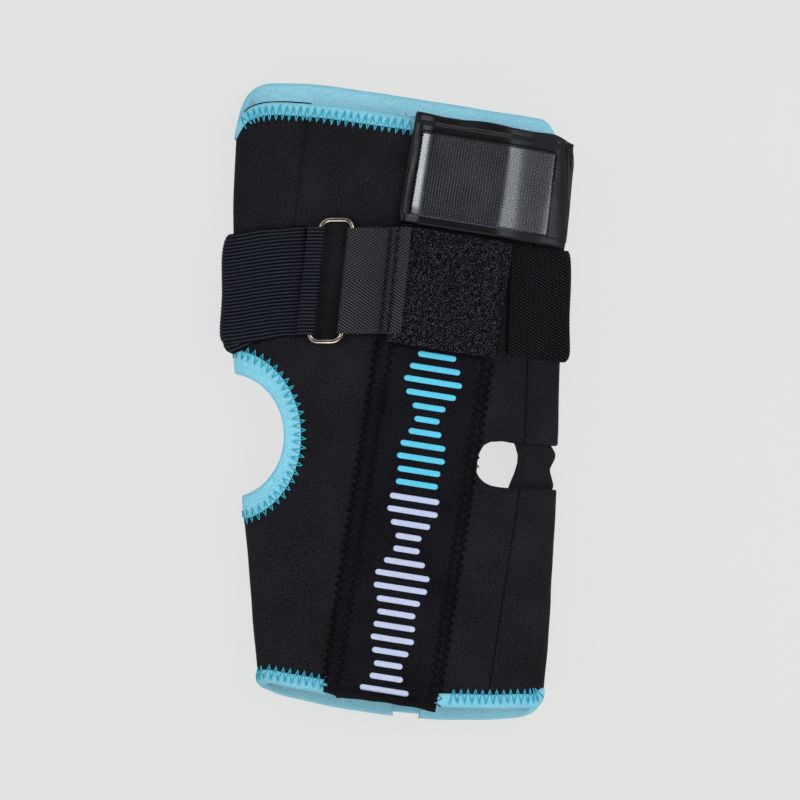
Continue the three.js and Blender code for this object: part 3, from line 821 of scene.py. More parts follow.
def studio():
    """A long lens straight above a pale floor, soft lamps, and a sky that is pale near the horizon."""
    camera = bpy.data.objects.new("camera", bpy.data.cameras.new("camera"))
    bpy.context.scene.collection.objects.link(camera)
    camera.data.lens = 300
    camera.data.sensor_width = 36
    camera.data.clip_end = 50
    frame_width = 0.5362
    camera.location = (0.0006, -0.0003, 0.02 + frame_width * camera.data.lens / camera.data.sensor_width)
    bpy.context.scene.camera = camera

    floor = bpy.data.meshes.new("floor")
    size = 6.0
    corners = [(-size, -size, 0), (size, -size, 0), (size, size, 0), (-size, size, 0)]
    floor.from_pydata(corners, [], [(0, 1, 2, 3)])
    floor.materials.append(floor_material())
    ground = bpy.data.objects.new("floor", floor)
    ground.location.z = -0.0004
    bpy.context.scene.collection.objects.link(ground)

    world = bpy.data.worlds.new("studio")
    world.use_nodes = True
    tree = world.node_tree
    coordinates = tree.nodes.new("ShaderNodeTexCoord")
    parts = tree.nodes.new("ShaderNodeSeparateXYZ")
    fade = tree.nodes.new("ShaderNodeValToRGB")
    fade.color_ramp.elements[0].position, fade.color_ramp.elements[1].position = 0.55, 0.97
    fade.color_ramp.elements[0].color = (0.8, 0.81, 0.85, 1)
    fade.color_ramp.elements[1].color = (0.03, 0.03, 0.035, 1)
    tree.links.new(coordinates.outputs["Generated"], parts.inputs[0])
    tree.links.new(parts.outputs[2], fade.inputs[0])
    tree.links.new(fade.outputs[0], tree.nodes["Background"].inputs[0])
    bpy.context.scene.world = world
    bpy.context.scene.view_settings.view_transform = "Standard"

    area_light("key_light", (0.75, 0.5, 1.75), (0, 0, 0), 0.9, 0.7, 8.5)
    area_light("front_fill", (-0.1, -1.2, 1.35), (0, -0.1, 0), 1.2, 0.6, 13)
    area_light("right_strip", (1.0, 0.05, 0.95), (0.08, 0.15, 0), 0.7, 1.0, 11.5, (0.86, 0.91, 1.0))
    area_light("left_strip", (-0.9, 0.3, 0.93), (0.01, 0.15, 0.05), 0.4, 0.2, 8, (0.88, 0.92, 1.0))


studio()


# ---- Neoprene panels ----
ARCH_X, ARCH_Y, ARCH_WIDE, ARCH_TALL = -116.0, -23.5, 37.0, 41.0
BAND_WIDE, BAND_TALL = 49.0, 57.5
SLOT_TOP, SLOT_MIDDLE, SLOT_BOTTOM = -29.5, -44.5, -59.0
BACK_LEFT, BACK_RIGHT = 234.0, 318.0
VENT = [
    (59.6, -27.7), (67.8, -27.3), (74.0, -28.4), (79.0, -29.3), (84.0, -29.5), (84.0, -59.2), (72.6, -58.6),
    (65.1, -57.8), (59.6, -56.7), (55.5, -54.7), (52.2, -51.6), (50.3, -48.0), (50.5, -43.0), (51.8, -36.2),
    (53.2, -32.6), (55.7, -29.6),
]
VENT_UNDER = [
    (48, -58), (50, -62), (56, -63), (78, -62), (82, -60), (84, -45), (82, -27), (78, -24), (55, -24),
    (49, -28), (47, -35),
]


def angle_under(x, y):
    """Section angle of a point of the back layer."""
    middle, _ = widths(np.asarray(y, float))
    x, y, middle = np.broadcast_arrays(np.asarray(x, float), np.asarray(y, float), middle)
    left = x < middle
    low = np.where(left, 180.0, 270.0)
    high = np.where(left, 270.0, 360.0)
    for _ in range(24):
        turn = (low + high) / 2
        further = section(turn, y)[0] > x
        low, high = np.where(further, low, turn), np.where(further, turn, high)
    return turn


def seam_left(y):
    """Where the left panel is sewn to the front one, under the pocket's edge."""
    at = np.asarray(y, float)
    x = POCKET_X - 30 * math.cos(LEAN) + at / math.cos(LEAN) * math.sin(LEAN)
    return arc_of(angle_at(x, at), at)


def seam_right(y):
    """The seam down the right side; it bends at the flex slot."""
    at = np.asarray(y, float)
    x = 81.5 + np.where(at > SLOT_MIDDLE, 0.045, 0.155) * (at - SLOT_MIDDLE)
    return arc_of(angle_at(x, at), at)


def panel_top(angle):
    return rims(angle)[0] - PANEL_INSET


def panel_bottom(angle):
    return rims(angle)[1] + PANEL_INSET


def rim_line(first, last, top):
    angles = np.linspace(first, last, max(8, int(abs(last - first) / 2)))
    y = panel_top(angles) if top else panel_bottom(angles)
    return np.stack([arc_of(angles, y), y], -1)


def column(arc, low, high):
    y = np.linspace(low, high, max(3, int(abs(high - low) / 2.5)))
    return beside(arc(y), y)


def arch_loop(wide, tall, pitch=1.6):
    """The half-round cut-out, laid flat about the left fold."""
    turns = np.linspace(-math.pi / 2, math.pi / 2, 241)
    y = ARCH_Y + tall * np.sin(turns)
    x = ARCH_X + wide * np.cos(turns)
    fold = widths(y)[0] - widths(y)[1]
    keep = x > fold + 0.05
    x, y = x[keep], y[keep]
    upper = np.stack([arc_of(angle_at(x, y), y), y], -1)
    under = np.stack([arc_of(angle_under(x, y), y), y], -1)
    loop = np.concatenate([upper, under[::-1]])
    return spread_loop(loop, pitch)


ARCH_HOLE = arch_loop(ARCH_WIDE + 3, ARCH_TALL + 3)


def vent_loop(under):
    """The round hole by the flex slot, laid flat, in the front or in the layer under it."""
    ring = np.array(VENT_UNDER if under else VENT, float)
    ring = spread_loop(ring, 1.5)
    turn = angle_under(ring[:, 0], ring[:, 1]) - 360 if under else angle_at(ring[:, 0], ring[:, 1])
    return np.stack([arc_of(np.where(turn < -90, turn + 360, turn), ring[:, 1]), ring[:, 1]], -1)


def soft_face(seed, relief=None):
    def high(u, v):
        lift = 0.5 * ripple(u, v, 95, seed) + 0.175 * ripple(u, v, 34, seed + 1)
        return lift - relief(u, v) if relief else lift
    return high


def panel_piece(name, loops, high, lines=(), spacing=3.2, place=on_sleeve):
    piece = cut_cloth(
        name, loops, spacing, place, high, -NEOPRENE, [NEO, LINING], "sleeve", lines=lines, round_edge=1.4)
    filed(piece, name)


def left_crease(v):
    """Where the side strip of the left panel is sewn on."""
    x = np.interp(v, [-215, 33, 120, 187, 215], [-230, -98.5, -71.5, -63.5, -61])
    return arc_of(angle_at(np.maximum(x, -108), np.asarray(v, float)), np.asarray(v, float))


def left_relief(u, v):
    return np.where(v > 36, 1.9 * np.exp(-((u - left_crease(v)) / 0.9) ** 2), 0)


def left_panel():
    crease_y = np.arange(38.0, 190.0, 1.6)
    crease_rows = [np.stack([left_crease(crease_y) + side, crease_y], -1) for side in (-1.2, 0, 1.2)]
    outline = np.concatenate([
        column(seam_left, panel_bottom(96), panel_top(96)),
        rim_line(98, BACK_LEFT, True),
        column(partial(arc_of, BACK_LEFT), panel_top(BACK_LEFT), panel_bottom(BACK_LEFT))[1:-1],
        rim_line(BACK_LEFT, 98, False),
    ])
    panel_piece("left_panel", [outline, ARCH_HOLE], soft_face(11, left_relief), crease_rows)


def front_panel():
    vent = vent_loop(False)
    notch = vent[vent[:, 0] < seam_right(vent[:, 1]) - 0.4]
    turn = np.arctan2(notch[:, 1] + 43, notch[:, 0] - np.mean(notch[:, 0]) - 12)
    notch = notch[np.argsort(np.mod(turn, 2 * math.pi))]
    outline = np.concatenate([
        column(seam_right, panel_bottom(48), notch[-1][1] - 0.5),
        notch[::-1],
        column(seam_right, notch[0][1] + 0.5, panel_top(48)),
        rim_line(50, 96, True),
        column(seam_left, panel_top(96), panel_bottom(96))[1:-1],
        rim_line(96, 50, False),
    ])
    panel_piece("front_panel", [outline], soft_face(23))


def back_panel():
    """The layer it lies on: its far half is drawn beside the near one, across the section's ends."""
    near = np.concatenate([
        column(edge_under, panel_bottom(BACK_RIGHT), panel_top(BACK_RIGHT)),
        rim_line(BACK_RIGHT - 362, -90, True),
    ])
    far = np.concatenate([
        rim_line(268, BACK_LEFT + 2, True),
        column(partial(arc_of, BACK_LEFT), panel_top(BACK_LEFT), panel_bottom(BACK_LEFT)),
        rim_line(BACK_LEFT + 2, 268, False),
    ])
    far[:, 0] += arc_of(-90, far[:, 1]) - arc_of(270, far[:, 1])
    outline = np.concatenate([near, far, rim_line(-90, BACK_RIGHT - 362, False)])

    def on_back(u, v, depth):
        turn = arc_of(-90, v) - arc_of(270, v)
        past = u > arc_of(-90, v)
        return on_sleeve(np.where(past, u - turn, u), v, depth)

    panel_piece("back_panel", [outline, vent_loop(True)], 0.0, spacing=4.0, place=on_back)


def right_panels():
    upper = np.concatenate([
        column(edge_under, panel_top(-42), SLOT_TOP)[:-1],
        slot_edge(edge_under(SLOT_TOP), seam_right(SLOT_TOP), SLOT_TOP, 1.2),
        column(seam_right, SLOT_TOP, panel_top(48))[1:],
        rim_line(46, -40, True),
    ])
    panel_piece("right_upper_panel", [upper], soft_face(31))
    lower = np.concatenate([
        column(seam_right, panel_bottom(48), SLOT_BOTTOM)[:-1],
        slot_edge(seam_right(SLOT_BOTTOM), edge_under(SLOT_BOTTOM), SLOT_BOTTOM, 0.9),
        column(edge_under, SLOT_BOTTOM, panel_bottom(-42))[1:],
        rim_line(-40, 46, False),
    ])
    panel_piece("right_lower_panel", [lower], soft_face(37))


def edge_under(y):
    return arc_of(BACK_RIGHT - 360, y)


def slot_edge(first, last, y, dip):
    """A slot's edge, sagging a little between its ends."""
    share = np.linspace(0, 1, 40)
    u = first + (last - first) * share
    drop = dip * np.sin(share * math.pi) * smooth(np.abs(u - FOLD_ARC_RIGHT), 30, 0)
    clear = 4.0 * smooth(u, FOLD_ARC_RIGHT + 12, FOLD_ARC_RIGHT + 24)
    return np.stack([u, y - drop + (clear if y > -45 else -clear)], -1)


FOLD_ARC_RIGHT = float(arc_of(0, -44.0))


def bridge_strip():
    """A soft strip, crumpled, set below the panels across the flex slot."""
    left_edge = [
        (75.0, -25.0), (77.3, -30.6), (79.1, -36.2), (78.9, -41.7), (77.0, -47.8), (74.8, -53.0),
        (72.4, -58.6), (70.5, -64.0)]
    x, y = spread(left_edge, 1.2).T
    upper = np.stack([arc_of(angle_at(x, y), y), y], -1)
    under = np.stack([np.full(20, arc_of(-22, -44.0)), np.linspace(-64, -25, 20)], -1)
    fold = FOLD_ARC_RIGHT

    def high(u, v):
        near_fold = np.exp(-((u - fold) / 11) ** 2)
        waves = 1.3 * np.sin((v + 40) / 3.6) * near_fold
        folds = 1.0 * np.sin((v + 0.55 * (u - fold) + 44) / 3.1) * smooth(u, fold - 34, fold - 8)
        sag = 1.6 * np.cos((v + 44) / 15.0 * math.pi / 2)
        return -4.4 + 0.5 * ripple(u, v, 12, 5) + waves + folds * 0.8 + sag * near_fold

    loop = np.concatenate([upper, under])
    piece = cut_cloth(
        "bridge_strip", [loop], 1.3, on_sleeve, high, lambda u, v: high(u, v) - 1.8, [NEO], "sleeve",
        round_edge=0.8)
    filed(piece, "bridge_strip")


left_panel()
front_panel()
back_panel()
right_panels()
bridge_strip()


# ---- Teal bindings and their zigzag thread ----
def band_outline(reach, back_reach, pucker):
    """Outline of folded tape round an edge: distance in from the edge, and depth."""
    nose_turn = np.linspace(-math.pi / 2, math.pi / 2, 9)
    nose = [(2.4 - 2.4 * math.cos(t), -2.5 - 3.4 * math.sin(t)) for t in nose_turn]
    front = [(reach - 0.1, -0.6), (reach, 0.25), (reach - 0.7, 0.75 + 0.3 * pucker)]
    front += [(reach - step * (reach - 2.4) / 6, 0.9 + pucker * (1 - step / 6)) for step in range(1, 6)]
    back = [(2.4 + step * (back_reach - 2.4) / 5, -5.9) for step in range(1, 6)]
    return np.array(front + nose + back + [(back_reach + 0.2, -5.4), (back_reach - 0.4, -4.6)])


def rim_row(top):
    """The row of the sleeve on which lengths round a rim are measured."""
    return 190.0 if top else -205.0


def rim_angles(first, last, top):
    y = rim_row(top)
    start, end = float(arc_of(first, y)), float(arc_of(last, y))
    count = int(abs(end - start) / 1.2)
    return angle_of(np.linspace(start, end, count), y), np.linspace(0, abs(end - start), count)


def rim_points(angle, top, inset, depth):
    """Points in from a rim, square to it, over the laid-flat sleeve."""
    angle, inset = np.broadcast_arrays(np.asarray(angle, float), np.asarray(inset, float))
    at = [np.clip(angle + step, -90, 270) for step in (-1.5, 0, 1.5)]
    rim = [np.stack([arc_of(a, 0 * a + rim_row(top)), rims(a)[0 if top else 1]], -1) for a in at]
    along = unit(rim[2] - rim[0])
    inward = np.stack([-along[..., 1], along[..., 0]], -1) * (1 if top else -1)
    u = rim[1][..., 0] + inward[..., 0] * inset
    v = rim[1][..., 1] + inward[..., 1] * inset
    return on_sleeve(u, v, depth)


def band(name, sections, run):
    """A teal tape from its sections; two of the tapes run right round."""
    uv = beside(run[:, None], np.linspace(0, BAND_UV, len(sections[0]))[None, :])
    closed = name in ("top_binding", "arch_binding")
    filed(swept(name, np.array(sections), TEAL, "sleeve", uv, closed), name)


def rim_band(name, first, last, top, reach, back_reach):
    angles, run = rim_angles(first, last, top)
    if top:
        angles, run = angles[:-1], run[:-1]
    pucker = 0.28 * np.cos(run * 2 * math.pi / STITCH_PITCH) + 0.1 * ripple(run, 0 * run, 30, 3)
    sections = []
    for angle, lift in zip(angles, pucker):
        near = float(smooth(section(angle, 0.0)[1], 6, 20))
        line = band_outline(reach(angle), back_reach, lift * near)
        if top and angle < 86:
            line[:, 1] = np.minimum(line[:, 1], 0.15)
        wobble = 0.12 * math.sin(angle * 0.21)
        sections.append(rim_points(angle, top, line[:, 0] + wobble, line[:, 1]))
    band(name, sections, run)


def zigzag(name, path_at, length, pitch, inner, outer, radius, seed):
    """A zigzag thread: path_at(run, inset, depth) gives points; it turns at inner and outer insets."""
    dice = np.random.default_rng(seed)
    points = []
    for index in range(int(length / pitch * 2) + 1):
        inset, depth = (outer, 0.35) if index % 2 else (inner, 0.65)
        inset += dice.uniform(-0.35, 0.35)
        points.append((index * pitch / 2 + dice.uniform(-0.25, 0.25), inset, depth))
    run, inset, depth = np.concatenate([finer(points, 5), points[-1:]]).T
    on_tape = 0.9 * (inset < 0) * smooth(-inset, -0.3, 1.2)
    filed(tube(name, path_at(run, inset, depth + on_tape), radius, CYAN, "sleeve"))


def rim_zigzag(name, first, last, top, reach, seed):
    angles, run = rim_angles(first, last, top)

    def path_at(along, inset, depth):
        angle = np.interp(along, run, angles)
        edge = np.array([reach(a) for a in angle])
        return rim_points(angle, top, edge + inset, depth)

    zigzag(name, path_at, run[-1], STITCH_PITCH, -6.3, 3.4, 0.38, seed)


def bindings():
    def top_reach(angle):
        return 6.0 + 3.0 * float(smooth(section(angle, 0.0)[1], 14, 34))

    def bottom_reach(angle):
        return 9.5

    rim_band("top_binding", -90, 270, True, top_reach, 17.0)
    rim_zigzag("top_zigzag", 87, 171, True, top_reach, 41)
    # Painted shade: a black thread along the near rim, standing in for the dark gap between the layers.
    shade_line_path = rim_points(np.linspace(121, 163, 120), True, 0.2, -0.6)
    filed(tube("top_gap_shade_line", shade_line_path, 0.45, BLACK, "sleeve"))
    rim_band("bottom_binding_left", 95, 264, False, bottom_reach, 16.0)
    rim_zigzag("bottom_left_zigzag", 112, 205, False, bottom_reach, 42)
    rim_band("bottom_binding_right", -79, 80, False, bottom_reach, 16.0)
    rim_zigzag("bottom_right_zigzag", 7, 74, False, bottom_reach, 43)


def arch_binding():
    edge = arch_loop(ARCH_WIDE, ARCH_TALL, 1.2)
    outer = arch_loop(BAND_WIDE, BAND_TALL, 1.2)
    share = np.linspace(0, 1, len(outer), endpoint=False)
    at = np.linspace(0, 1, len(edge), endpoint=False)
    outer = np.stack([np.interp(at, share, outer[:, k], period=1.0) for k in (0, 1)], -1)
    run = running(edge)
    width = np.linalg.norm(outer - edge, axis=1)
    toward = unit(outer - edge)
    pucker = 0.25 * np.cos(run * 2 * math.pi / STITCH_PITCH)
    sections = []
    for point, direction, wide, lift in zip(edge, toward, width, pucker):
        line = band_outline(wide, 12.0, lift)
        flat = point + direction * line[:, :1]
        sections.append(on_sleeve(flat[:, 0], flat[:, 1], line[:, 1]))
    band("arch_binding", sections, run)

    def path_at(along, inset, depth):
        known = (edge[:, 0], edge[:, 1], toward[:, 0], toward[:, 1], width)
        u, v, across_u, across_v, wide = (np.interp(along, run, values) for values in known)
        return on_sleeve(u + across_u * (wide + inset), v + across_v * (wide + inset), depth)

    zigzag("arch_zigzag", path_at, run[-1], 4.2, -5.2, 3.6, 0.36, 44)


bindings()
arch_binding()


# ---- Long pocket ----
POCKET_HALF, POCKET_BOTTOM, POCKET_ROOM, POCKET_CLOTH = 38.0, -203.5, 5.5, 1.6
HEM, POCKET_STITCH = 4.7, 5.6
WINDOW_LEFT, WINDOW_RIGHT, WINDOW_BOTTOM, WINDOW_UP = -36.0, 72.0, 116.0, 189.0
FILM_LEFT, FILM_RIGHT, FILM_BOTTOM, FILM_UP = -31.0, 59.5, 120.5, 176.5
BEAD_STEP = 0.33


def pocket_low(x, y):
    """The pocket's lower face: on the neoprene at its sides, raised over what it holds."""
    edge = crown_in_pocket(x, y) + 0.5
    share = smooth(np.abs(x), 38.0, 27.5)
    return edge * (1 - share) + POCKET_ROOM * share


def pocket_high(x, y):
    wave = 0.35 * ripple(x, y, 70, 61) + 0.18 * ripple(x, y, 25, 62)
    stitch = 0.3 * np.cos(y * 2 * math.pi / POCKET_STITCH)
    inner_seam = 0.8 * np.exp(-((x + 29) / 1.9) ** 2) + stitch * np.exp(-((x + 29) / 3.4) ** 2)
    right_seam = 0.7 * np.exp(-((x - 33) / 1.6) ** 2) + stitch * np.exp(-((x - 33) / 3.0) ** 2)
    hem_shadow = 2.0 * np.exp(-((y - POCKET_BOTTOM - HEM - 1.0) / 1.2) ** 2)
    calm = smooth(np.abs(x), 37.5, 30)
    return pocket_low(x, y) + POCKET_CLOTH + wave * calm - inner_seam - right_seam - hem_shadow


def box_loop(left, right, bottom, top, pitch, corner=0.0, wobble=0.0):
    """An upright rectangle; wobble makes its edges uneven."""
    loop = np.array([(right, bottom), (right, top), (left, top), (left, bottom)], float)
    if corner:
        points = []
        sides = ((right, top), (left, top), (left, bottom), (right, bottom))
        for index, (x_side, y_side) in enumerate(sides):
            cx = x_side - corner if x_side == right else x_side + corner
            cy = y_side - corner if y_side == top else y_side + corner
            turn = np.radians(90 * index + np.linspace(0, 90, 8))
            points.append(np.stack([cx + corner * np.cos(turn), cy + corner * np.sin(turn)], -1))
        loop = np.concatenate(points)
    loop = spread_loop(loop, pitch)
    if wobble:
        x, y = loop.T
        loop = loop + wobble * np.stack([ripple(y, x, 23, 71), ripple(x, y, 23, 72)], -1)
    return loop


def pocket_zigzag(side, left, right, bottom, top, radius, seed):
    """A zigzag down the pocket, or down the neoprene beside it."""
    dice = np.random.default_rng(seed)
    points = []
    for index in range(int((top - bottom) / POCKET_STITCH * 2)):
        x = (left if index % 2 else right) + dice.uniform(-0.3, 0.3)
        points.append((x, bottom + index * POCKET_STITCH / 2 + dice.uniform(-0.2, 0.2)))
    x, y = finer(points, 4).T
    under = np.where(np.abs(x) < POCKET_HALF, pocket_high(x, y), crown_in_pocket(x, y) + 0.2)
    path = over_pocket(x, y, under + 0.35)
    filed(tube(f"pocket_zigzag_{side}", path, radius, BLACK, "sleeve"))


def long_pocket():
    hem_top = POCKET_BOTTOM + HEM
    loop = box_loop(-POCKET_HALF, POCKET_HALF, hem_top - 2, WINDOW_BOTTOM + 3, 2.0)
    stitch_y = np.linspace(hem_top, WINDOW_BOTTOM, 230)
    hem_x = np.linspace(-37, 37, 50)
    lines = [beside(x, stitch_y) for x in (-31.5, -29, -27, 31.5, 33, 34.5)]
    lines += [beside(hem_x, hem_top + gap) for gap in (0.3, 1.0, 1.8, 2.8)]
    piece = cut_cloth(
        "pocket_panel", [loop], 2.6, over_pocket, pocket_high, pocket_low, [POCKET], "sleeve", lines=lines,
        round_edge=1.2)
    filed(piece, "pocket_panel")

    across = np.linspace(-POCKET_HALF, POCKET_HALF, 90)
    turn = np.linspace(0, 2 * math.pi, 14, endpoint=False)
    sections = []
    for x in across:
        droop = 0.5 * math.sin(x * 0.11 + 0.6) + 0.25 * math.sin(x * 0.31)
        y = POCKET_BOTTOM + HEM / 2 + droop + (HEM / 2) * np.cos(turn) * (1 + 0.1 * math.sin(x * 0.2))
        crown = float(crown_in_pocket(x, POCKET_BOTTOM))
        top = float(pocket_low(np.array(x), np.array(hem_top))) + POCKET_CLOTH + 0.5
        low = min(crown + 0.4, top - 1.0) if abs(x) > 30 else top - 3.4
        height = (top + low) / 2 + (top - low) / 2 * np.sign(np.sin(turn)) * np.abs(np.sin(turn)) ** 0.7
        sections.append(over_pocket(np.full(14, x), y, height))
    uv = beside(across[:, None], np.linspace(0, 12, 14)[None, :])
    filed(swept("pocket_hem", np.array(sections), POCKET, "sleeve", uv), "pocket_hem")

    pocket_zigzag("left", -41.0, -36.0, POCKET_BOTTOM + 3, 40, 0.5, 81)
    pocket_zigzag("left_inner", -31.4, -26.8, POCKET_BOTTOM + 6, 40, 0.46, 82)
    pocket_zigzag("right", 31.2, 35.2, POCKET_BOTTOM + 6, 36, 0.46, 83)
    pocket_zigzag("right_edge", 36.6, 40.8, POCKET_BOTTOM + 3, 36, 0.48, 84)


def printed_bar(name, middle, half, material):
    """One rounded bar of print across the pocket."""
    centre, thick = 2.0, 3.8
    loop = box_loop(
        centre - half, centre + half, middle - thick / 2, middle + thick / 2, 1.2, corner=thick / 2 - 0.05)
    return cut_cloth(
        name, [loop], 1.6, over_pocket, lambda x, y: pocket_high(x, y) + 0.16,
        lambda x, y: pocket_high(x, y) - 0.3, [material], "sleeve", round_edge=0.15)


def printed_pattern():
    """A generic row of bars, long and short in turn, in two inks."""
    for name, ink, top, bottom in (
            ("print_teal", INK_TEAL, 30.0, -58.0), ("print_lilac", INK_LILAC, -66.0, -195.0)):
        bars = []
        y = top
        while y > bottom:
            half = 14.0 + 6.0 * math.sin(y * 0.115) * math.cos(y * 0.031)
            bars.append(printed_bar(f"{name}_{len(bars)}", y, half, ink))
            y -= 8.6
        filed(join(name, bars))


long_pocket()
printed_pattern()


# ---- Window pocket ----
def window_low(x, y):
    """The window's lower face, sinking to the neoprene at its right."""
    edge = crown_in_pocket(x, y) + 1.2
    right_share = smooth(x, 27, 60)
    flat = 10.2 - 4.2 * smooth(x, -22, -36) + 0.25 * ripple(x, y, 48, 91)
    height = flat * (1 - right_share) + edge * right_share
    dent = 1.3 * np.exp(-((x - 37) / 7) ** 2 - ((y - 186) / 14) ** 2)
    low_sag = 1.0 * smooth(y, WINDOW_BOTTOM + 12, WINDOW_BOTTOM) * smooth(x, 30, -10)
    return height - dent - low_sag


def window_grid(left, right, bottom, top, pitch_x, pitch_y):
    x = np.linspace(left, right, int((right - left) / pitch_x) + 1)
    y = np.linspace(bottom, top, int((top - bottom) / pitch_y) + 1)
    return np.meshgrid(x, y)


def flared(x, y):
    """The window's lower right corner flares out a little."""
    return x + 3.0 * smooth(y, WINDOW_UP - 10, WINDOW_BOTTOM) * smooth(x, 30, WINDOW_RIGHT)


def cloth_grid(name, x, y, high, low, material, node=None):
    uv = np.stack([x, y], -1)
    x = flared(x, y)
    x = x - 2.2 * smooth(y, WINDOW_UP - 20, WINDOW_UP - 4) * smooth(x, 62, WINDOW_RIGHT)
    y = y - 4.0 * smooth(x, 54, WINDOW_RIGHT) * smooth(y, WINDOW_UP - 14, WINDOW_UP)
    piece = thick_grid(name, over_pocket(x, y, high), over_pocket(x, y, low), material, "sleeve", uv)
    return filed(piece, node)


def window_floor(x, y, drop=2.0):
    """What the window's cloth lies on; columns past its left edge stand upright as its side."""
    beyond = np.maximum(0, WINDOW_LEFT - x)
    return window_low(np.clip(x, WINDOW_LEFT, WINDOW_RIGHT), y) - beyond * drop


def rolled(share, power=4):
    """A rolled edge's height, 0 at both sides and 1 in the middle."""
    return np.sqrt(np.maximum(0, 1 - (2 * share - 1) ** power))


def window_pocket():
    x, y = window_grid(WINDOW_LEFT - 1.2, WINDOW_RIGHT, WINDOW_BOTTOM, WINDOW_UP - 1, 0.475, 0.47)
    ribs = 0.2 * np.cos(x * 2 * math.pi / MESH_COLUMN) + 0.1 * np.cos(y * 2 * math.pi / MESH_ROW)
    on_film = smooth(x, FILM_RIGHT + 1, FILM_RIGHT - 1)
    low = window_floor(x, y, 4.0)
    mesh_piece = cloth_grid("window_mesh", x, y, low + 1.0 + ribs * on_film, low, MESH, node="window_mesh")

    x, y = window_grid(FILM_LEFT, FILM_RIGHT, FILM_BOTTOM, FILM_UP, 0.8, 1.5)
    low = window_low(x, y) + 1.35 + 0.08 * ripple(x, y, 30, 94)
    film = cloth_grid("window_film", x, y, low + 0.3, low, FILM, "window_film")

    x, y = window_grid(WINDOW_LEFT - 0.8, WINDOW_RIGHT + 0.6, FILM_UP - 1, WINDOW_UP - 0.6, 0.7, 0.5)
    share = np.maximum(0, y - (WINDOW_UP - 7.6)) / 7.0
    seam = 0.7 * np.exp(-((share - 0.16) / 0.07) ** 2)
    low = window_floor(x, y)
    high = low + 1.95 - seam + 1.5 * rolled(share) * (1 + 0.3 * ripple(x, y, 18, 95))
    waved = y + 0.7 * np.sin(x * 0.13) * share
    cloth_grid("window_top_hem", x, waved, high, low + 0.2, HEM_CLOTH, node="window_top_hem")

    x, y = window_grid(WINDOW_LEFT - 0.8, WINDOW_RIGHT, WINDOW_BOTTOM - 1.5, FILM_BOTTOM + 0.8, 0.9, 0.55)
    share = (y - WINDOW_BOTTOM + 1.5) / (FILM_BOTTOM + 2.3 - WINDOW_BOTTOM)
    low = window_floor(x, y)
    high = low + 1.2 + 1.3 * rolled(share)
    cloth_grid("window_bottom_tape", x, y, high, low + 0.1, HEM_CLOTH, node="window_bottom_tape")

    x, y = window_grid(WINDOW_LEFT - 0.8, FILM_LEFT + 0.8, WINDOW_BOTTOM + 2.4, WINDOW_UP - 7, 0.5, 0.8)
    low = window_floor(x, y)
    cushion = 0.5 * np.sin((x - WINDOW_LEFT) / 5.8 * math.pi) + 0.15 * ripple(x, y, 9, 97)
    cloth_grid("window_left_tape", x, y, low + 1.75 + cushion, low + 0.1, HEM_CLOTH)

    x, y = window_grid(FILM_RIGHT - 0.4, WINDOW_RIGHT + 0.5, WINDOW_BOTTOM + 2.4, WINDOW_UP - 7, 0.6, 0.8)
    share = (x - FILM_RIGHT + 0.4) / (WINDOW_RIGHT + 0.9 - FILM_RIGHT)
    low = window_floor(x, y)
    high = low + 1.2 + 0.8 * rolled(share, 6) + 0.15 * ripple(x, y, 9, 96)
    cloth_grid("window_side_tape", x, y, high, low + 0.1, HEM_CLOTH, node="window_side_tape")

    up = np.arange(FILM_BOTTOM, FILM_UP, BEAD_STEP)
    along = np.arange(FILM_LEFT, FILM_RIGHT, BEAD_STEP)
    window_stitches("left", FILM_LEFT + 0.2 + 0 * up, up, 2.1, BLACK)
    window_stitches("right", FILM_RIGHT + 0.7 + 0 * up, up, 2.0, BLACK)
    # The bottom row is grey and the others black: painted highlight on the stitches there.
    window_stitches("bottom", along, FILM_BOTTOM + 0.2 + 0 * along, 2.2, GREY_HIGHLIGHT_THREAD)
    window_stitches("top", along, FILM_UP + 0.6 + 0 * along, 2.1, BLACK)


def window_stitches(side, x, y, lift, material):
    """A row of stitches round the film, standing up as small beads."""
    bead = np.abs(np.sin(np.arange(len(x)) * BEAD_STEP * math.pi / 2.6))
    x = flared(x, y)
    path = over_pocket(x, y, window_low(x, y) + lift - 0.4 * (1 - bead))
    filed(tube(f"window_stitches_{side}", path, 0.25 + 0.35 * bead, material, "sleeve"))


window_pocket()


# ---- Elastic straps ----
STRAP_HALF, STRAP_IN = 37.0, 0.8


def strap_middle(angle):
    """How far up the sleeve a strap's middle line runs."""
    x, z = section(angle, 70.0)
    under = np.interp(x, [-112, 108], [73.7, 62.8])
    toward = 1 - np.clip((x + 112) / 52, 0, 1)
    over = np.where(x < 0, 79.6 - 5.9 * toward ** 2, 62.8 - 0.135 * (x - 108))
    return np.where(z < FOLD_HEIGHT, under, over)


def strap_bulge(angle):
    """How far a strap stands off the sleeve at its folds."""
    turn = np.mod(angle, 360)
    left = np.exp(-((turn - 174) / 13) ** 2)
    right = np.exp(-((np.mod(angle + 180, 360) - 186) / 13) ** 2)
    return 5 * left + 2.6 * right


def ribbed(side, pitch, size):
    """Height of ribs that run along a strap."""
    return size * (np.abs(np.cos(side * math.pi / pitch)) ** 0.6 - 0.5)


